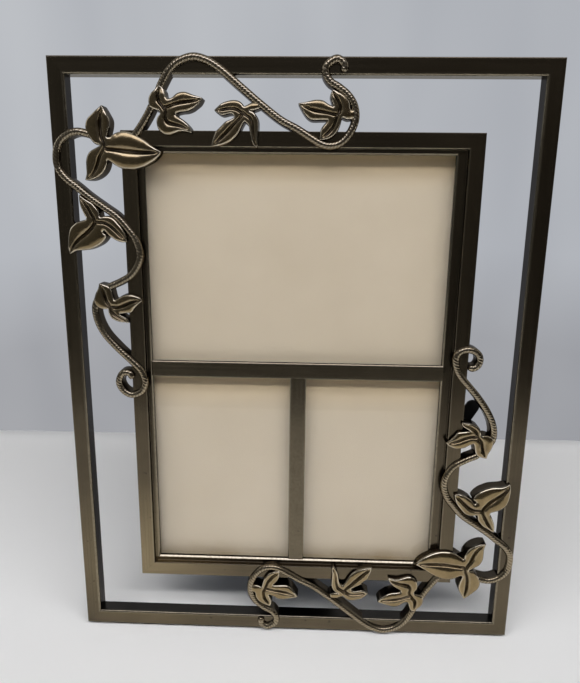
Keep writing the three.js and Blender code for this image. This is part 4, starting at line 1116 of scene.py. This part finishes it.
# Hinge leaves: each plate runs into a rolled knuckle round the pin.
def roll_profile(straight, sweep_deg, start_deg, thick, r_mid, steps=26):
    """Centre line points followed by an arc about the axis, thickened to a closed strip."""
    path = [np.array(p, float) for p in straight]
    for k in range(steps + 1):
        a = math.radians(start_deg + sweep_deg * k / steps)
        path.append(np.array([r_mid * math.cos(a), r_mid * math.sin(a)]))
    path = np.array(path)
    t = np.gradient(path, axis=0)
    n = np.stack([-t[:, 1], t[:, 0]], 1)
    n /= np.linalg.norm(n, axis=1)[:, None]
    return np.vstack([path + n * thick / 2, (path - n * thick / 2)[::-1]])


def prism_x(profile, x0, x1, edge=0.12):
    P = np.array(profile, float)
    n = len(P)
    V = []
    for x in (x0, x1):
        V += [(x, y, z) for y, z in P]
    faces = [(i, (i + 1) % n, n + (i + 1) % n, n + i) for i in range(n)]
    faces.append(tuple(reversed(range(n))))
    faces.append(tuple(range(n, 2 * n)))
    return np.array(V), faces


def union(name, pieces):
    """One closed mesh from several closed ones, in plane-frame millimetres."""
    obs = []
    for i, (V, faces) in enumerate(pieces):
        me = bpy.data.meshes.new(f"{name}_{i}")
        me.from_pydata([tuple(v) for v in V], [], [tuple(f) for f in faces])
        o = bpy.data.objects.new(f"{name}_{i}", me)
        scene.collection.objects.link(o)
        fix_normals(o)
        obs.append(o)
    for o in obs[1:]:
        mod = obs[0].modifiers.new("join", "BOOLEAN")
        mod.operation, mod.solver, mod.object = "UNION", "EXACT", o
    bev = obs[0].modifiers.new("edges", "BEVEL")
    bev.width, bev.segments, bev.limit_method, bev.angle_limit = 0.13, 2, "ANGLE", math.radians(40)
    dg = bpy.context.evaluated_depsgraph_get()
    me = obs[0].evaluated_get(dg).to_mesh()
    V = np.array([v.co[:] for v in me.vertices])
    faces = [tuple(p.vertices) for p in me.polygons]
    obs[0].evaluated_get(dg).to_mesh_clear()
    for o in obs:
        d = o.data
        bpy.data.objects.remove(o)
        bpy.data.meshes.remove(d)
    return V, faces


plate_z = -10.8
neck = [(3.4, plate_z - HINGE_Z), (2.6, plate_z - HINGE_Z - 0.06), (2.0, plate_z - HINGE_Z - 0.5), (1.72, 1.6), (1.66, 0.8)]
roll = roll_profile(neck, -325, 0, 1.0, 1.66)
pieces = []
V, faces, _ = slab(corner_rounded(-HINGE_W / 2, HINGE_W / 2, HINGE_Y + 2.4, HINGE_Y + 22, 2.2), plate_z - 0.5, plate_z + 0.5, 0.12, 2)
pieces.append((V, faces))
for x0, x1 in ((-HINGE_W / 2, -5.0), (5.0, HINGE_W / 2)):
    V, faces = prism_x([(y + HINGE_Y, z + HINGE_Z) for y, z in roll], x0, x1)
    pieces.append((V, faces))
V, faces = union("hinge_fixed", pieces)
ob = make("hinge_leaf_fixed_plate", V, faces, M_HINGE, "frame", "hinge_leaf_fixed", sharp_deg=35)
fix_normals(ob)

roll = roll_profile([(-4.6, 0.0), (-3.6, -0.02), (-3.0, -0.25), (-2.4, -0.75), (-1.85, -1.2)], 318, -138, 1.0, 1.66)
pieces = []
V, faces, _ = slab(corner_rounded(-12, 12, -24, -3.6, 2.2), -0.5, 0.5, 0.12, 2)
pieces.append((V, faces))
V, faces = prism_x(roll, -4.7, 4.7)
pieces.append((V, faces))
a = math.radians(-8)
heel = [(math.cos(a) * y - math.sin(a) * z, math.sin(a) * y + math.cos(a) * z) for y, z in ((1.5, -0.5), (5.0, -0.5), (5.0, 0.5), (1.5, 0.5))]
V, faces = prism_x(heel, -4.0, 4.0)
pieces.append((V, faces))
V, faces = union("hinge_moving", pieces)
ob = make("hinge_leaf_moving_plate", leg_frame(V), faces, M_HINGE, "easel", "hinge_leaf_moving", sharp_deg=35)
fix_normals(ob)

# Hinge pin, along x
prof = [(0.0, -HINGE_W / 2 - 1.0), (0.9, -HINGE_W / 2 - 0.95), (1.45, -HINGE_W / 2 - 0.75), (1.7, -HINGE_W / 2 - 0.45), (1.7, -HINGE_W / 2 - 0.2),
        (1.0, -HINGE_W / 2 - 0.15), (1.0, HINGE_W / 2 + 0.15), (1.7, HINGE_W / 2 + 0.2), (1.7, HINGE_W / 2 + 0.45), (1.45, HINGE_W / 2 + 0.75),
        (0.9, HINGE_W / 2 + 0.95), (0.0, HINGE_W / 2 + 1.0)]
V, faces = lathe(prof, 32)
V = np.stack([V[:, 2], V[:, 0] + HINGE_Y, V[:, 1] + HINGE_Z], 1)
ob = make("hinge_pin_turned", V, faces, M_HINGE, "frame", "hinge_pin", sharp_deg=40)
fix_normals(ob)

# Rivets of the hinge
V0, faces = rivet_head(2.0, 0.9)
for side, sx in (("left", -1), ("right", 1)):
    ob = make(f"hinge_rivet_{side}_dome", V0 + np.array([9 * sx, HINGE_Y + 16, plate_z - 0.5 - 0.02]), faces, M_HINGE, "frame", f"hinge_rivet_{side}", sharp_deg=40)
    fix_normals(ob)
    ob = make(f"leg_rivet_{side}_dome", leg_frame(V0 + np.array([8 * sx, -18, -0.5 - 0.02])), faces, M_HINGE, "easel", f"leg_rivet_{side}", sharp_deg=40)
    fix_normals(ob)

# Turn buttons and their rivets
for side, sx in (("left", -1), ("right", 1)):
    for level, sy in (("upper", 1), ("lower", -1)):
        ang = math.radians(60) if (sx > 0 and sy < 0) else (math.pi if sx > 0 else 0.0)
        out = []
        for k in range(15):
            a = math.pi / 2 + math.pi * k / 14
            out.append((CLIP_R * math.cos(a), CLIP_R * math.sin(a)))
        for k in range(15):
            a = -math.pi / 2 + math.pi * k / 14
            out.append((CLIP_LEN + CLIP_R * math.cos(a), CLIP_R * math.sin(a)))
        V, faces, wear = slab(out, -CLIP_T, 0.0, 0.28, 4)
        c, s = math.cos(ang), math.sin(ang)
        V = np.stack([c * V[:, 0] - s * V[:, 1], s * V[:, 0] + c * V[:, 1], V[:, 2]], 1)
        V = V + np.array([sx * CLIP_X, sy * CLIP_Y, -INNER_DEPTH - 0.3])
        ob = make(f"turn_button_{side}_{level}_lacquer", V, faces, M_CLIP, f"clip_{side}_{level}", f"turn_button_{side}_{level}", {"wear": wear}, sharp_deg=50)
        fix_normals(ob)
        V, faces = rivet_head(2.2, 0.8)
        V = V + np.array([sx * CLIP_X, sy * CLIP_Y, -INNER_DEPTH - 0.3 - CLIP_T - 0.1])
        wear = smoothstep(0.25, 0.7, -V[:, 2] - INNER_DEPTH - 1.4)
        ob = make(f"turn_button_rivet_{side}_{level}_dome", V, faces, M_CLIP, "frame", f"turn_button_rivet_{side}_{level}", {"wear": wear}, sharp_deg=40)
        fix_normals(ob)


# ------------------------------------------------------------------ camera
CAM_POINT = (3.5363033592952813, 66.02872322655098, 229.41014601047965)
CAM_AXES = np.array([[0.9993797919649953, 0.011490481067554768, -0.033286637812173996],
                     [-0.01858758838111409, 0.9749828809101367, -0.22150142999616143],
                     [0.029908744042118497, 0.22198277135175667, 0.9745917690257889]])
cam_data = bpy.data.cameras.new("camera")
cam = bpy.data.objects.new("camera", cam_data)
scene.collection.objects.link(cam)
cam_data.sensor_fit = "HORIZONTAL"
cam_data.sensor_width = 36.0
cam_data.lens = 36.0
cam_data.clip_start, cam_data.clip_end = 0.01, 50.0
axes = TO_WORLD @ CAM_AXES.T
mat = Matrix.Identity(4)
for r in range(3):
    for c in range(3):
        mat[r][c] = axes[r, c]
    mat[r][3] = world([CAM_POINT])[0][r]
cam.matrix_world = mat
scene.camera = cam

# ------------------------------------------------------------------ floor, light, surroundings
BACK_EDGE, BACK_SLANT, ROLL = 0.1210, 0.0017, 0.032


def stage_floor():
    bm = bmesh.new()
    x0, x1, y0 = -1.6, 1.6, -1.30
    xs = np.linspace(x0, x1, 9)
    edge = [BACK_EDGE - ROLL + BACK_SLANT * x / 0.2 for x in xs]
    rows = []
    for f in np.linspace(0, 1, 9):
        rows.append([bm.verts.new((x, y0 + (e - y0) * f, 0.0)) for x, e in zip(xs, edge)])
    for k in range(1, 13):
        a = math.pi / 2 * k / 12
        rows.append([bm.verts.new((x, e + ROLL * math.sin(a), -ROLL * (1 - math.cos(a)))) for x, e in zip(xs, edge)])
    for a, b in zip(rows, rows[1:]):
        for i in range(len(xs) - 1):
            bm.faces.new((a[i], a[i + 1], b[i + 1], b[i]))
    me = bpy.data.meshes.new("floor")
    bm.to_mesh(me)
    bm.free()
    ob = bpy.data.objects.new("floor", me)
    scene.collection.objects.link(ob)
    me.polygons.foreach_set("use_smooth", np.full(len(me.polygons), True))
    m, t, out = material("pale_floor")
    p = node(t, "ShaderNodeBsdfPrincipled", Roughness=0.75)
    p.inputs["Specular IOR Level"].default_value = 0.2
    cloud = noise_tex(t, object_coords(t), 4.0, 3.0, 0.5)
    link(t, mix_colour(t, grey(t, cloud, 0.0, 1.0, 0.3, 0.7), (0.838, 0.845, 0.862), (0.812, 0.820, 0.838)), p.inputs["Base Color"])
    finish_material(t, out, p)
    me.materials.append(m)


stage_floor()


def area_light(name, loc, target, size, size_y, energy, colour=(1, 1, 1)):
    d = bpy.data.lights.new(name, "AREA")
    d.shape, d.size, d.size_y = "RECTANGLE", size, size_y
    d.energy, d.color = energy, colour
    o = bpy.data.objects.new(name, d)
    scene.collection.objects.link(o)
    o.location = loc
    o.rotation_mode = "QUATERNION"
    o.rotation_quaternion = (Vector(target) - Vector(loc)).to_track_quat("-Z", "Y")
    return o


# The light stands in front and high up, about 62 degrees above the table as seen from the frame.
AIM = (0.0, -0.0155, 0.118)


def from_above(distance, elevation, x=0.0):
    e = math.radians(elevation)
    return (x, AIM[1] - distance * math.cos(e), AIM[2] + distance * math.sin(e))


softbox = area_light("softbox", from_above(0.95, 62, 0.02), AIM, 1.00, 0.30, 3.1, (0.94, 0.955, 1.14))
softbox.visible_diffuse = False
key = area_light("key", from_above(1.2, 62), AIM, 5.00, 0.12, 22.0, (1.0, 0.98, 0.955))
key.visible_glossy = False
overhead = area_light("overhead", from_above(1.3, 75), AIM, 5.00, 0.20, 15.0, (1.0, 0.99, 0.97))
overhead.visible_glossy = False
left = area_light("left_fill", (-1.3, 0.1, 0.75), (0.0, 0.0, 0.1), 0.7, 0.7, 1.4, (0.95, 0.97, 1.0))
right = area_light("right_fill", (1.3, 0.1, 0.75), (0.0, 0.0, 0.1), 0.7, 0.7, 1.0, (0.97, 0.98, 1.0))
left.visible_diffuse = right.visible_diffuse = False
# A wide soft bounce from low behind the table lights the back of the frame.
rear = area_light("rear_bounce", (0.0, 1.05, -0.55), (0.0, 0.03, 0.14), 1.8, 0.6, 17.0, (0.97, 0.98, 1.0))
rear.visible_glossy = rear.visible_camera = rear.visible_transmission = False

# Surroundings: a pale backdrop behind, a dim room in front and above.
w = bpy.data.worlds.new("studio")
scene.world = w
w.use_nodes = True
t = w.node_tree
t.nodes.clear()
tc = node(t, "ShaderNodeTexCoord")
sep = node(t, "ShaderNodeSeparateXYZ")
link(t, tc.outputs["Generated"], sep.inputs[0])
behind = grey(t, sep.outputs["Y"], 0.0, 1.0, -0.15, 0.35)
up = grey(t, sep.outputs["Z"], 0.0, 1.0, 0.55, 0.98)
to_right = grey(t, sep.outputs["X"], 0.0, 1.0, -0.5, 0.5)
dim = mix_colour(t, to_right, (0.120, 0.122, 0.122), (0.056, 0.053, 0.050))
room = mix_colour(t, up, dim, (0.45, 0.44, 0.42))
seen = mix_colour(t, behind, room, (0.42, 0.44, 0.48))
path = node(t, "ShaderNodeLightPath")
lit = node(t, "ShaderNodeBackground")
link(t, seen, lit.inputs["Color"])
link(t, grey(t, path.outputs["Is Diffuse Ray"], 1.0, 0.2), lit.inputs["Strength"])
# Camera rays see the backdrop with painted shade: darker towards the table, lighter on the left, and soft shading of
# its folds.
scaled = node(t, "ShaderNodeMapping")
scaled.inputs["Scale"].default_value = (5.0, 5.0, 1.2)
link(t, tc.outputs["Generated"], scaled.inputs["Vector"])
folds = noise_tex(t, scaled.outputs["Vector"], 1.0, 2.0, 0.5)
height = ramp(t, grey(t, sep.outputs["Z"], 0.0, 1.0, -0.56, 0.06),
              [(0.0, (0.345, 0.350, 0.372)), (0.20, (0.350, 0.356, 0.380)), (0.42, (0.440, 0.455, 0.488)), (1.0, (0.455, 0.470, 0.500))])
cloth = mix_colour(t, grey(t, folds, 0.0, 1.0, 0.3, 0.7), (0.90, 0.905, 0.92), (1.10, 1.10, 1.09))
cloth = mix_colour(t, 1.0, cloth, mix_colour(t, to_right, (1.10, 1.10, 1.09), (0.93, 0.935, 0.945)), "MULTIPLY")
drop = node(t, "ShaderNodeBackground", Strength=1.0)
link(t, mix_colour(t, 1.0, height, cloth, "MULTIPLY"), drop.inputs["Color"])
mixw = node(t, "ShaderNodeMixShader")
link(t, path.outputs["Is Camera Ray"], mixw.inputs[0])
link(t, lit.outputs[0], mixw.inputs[1])
link(t, drop.outputs[0], mixw.inputs[2])
wo = node(t, "ShaderNodeOutputWorld")
link(t, mixw.outputs[0], wo.inputs["Surface"])

scene.view_settings.view_transform = "Standard"
scene.view_settings.look = "None"
scene.view_settings.exposure = 0.0
scene.view_settings.gamma = 1.0
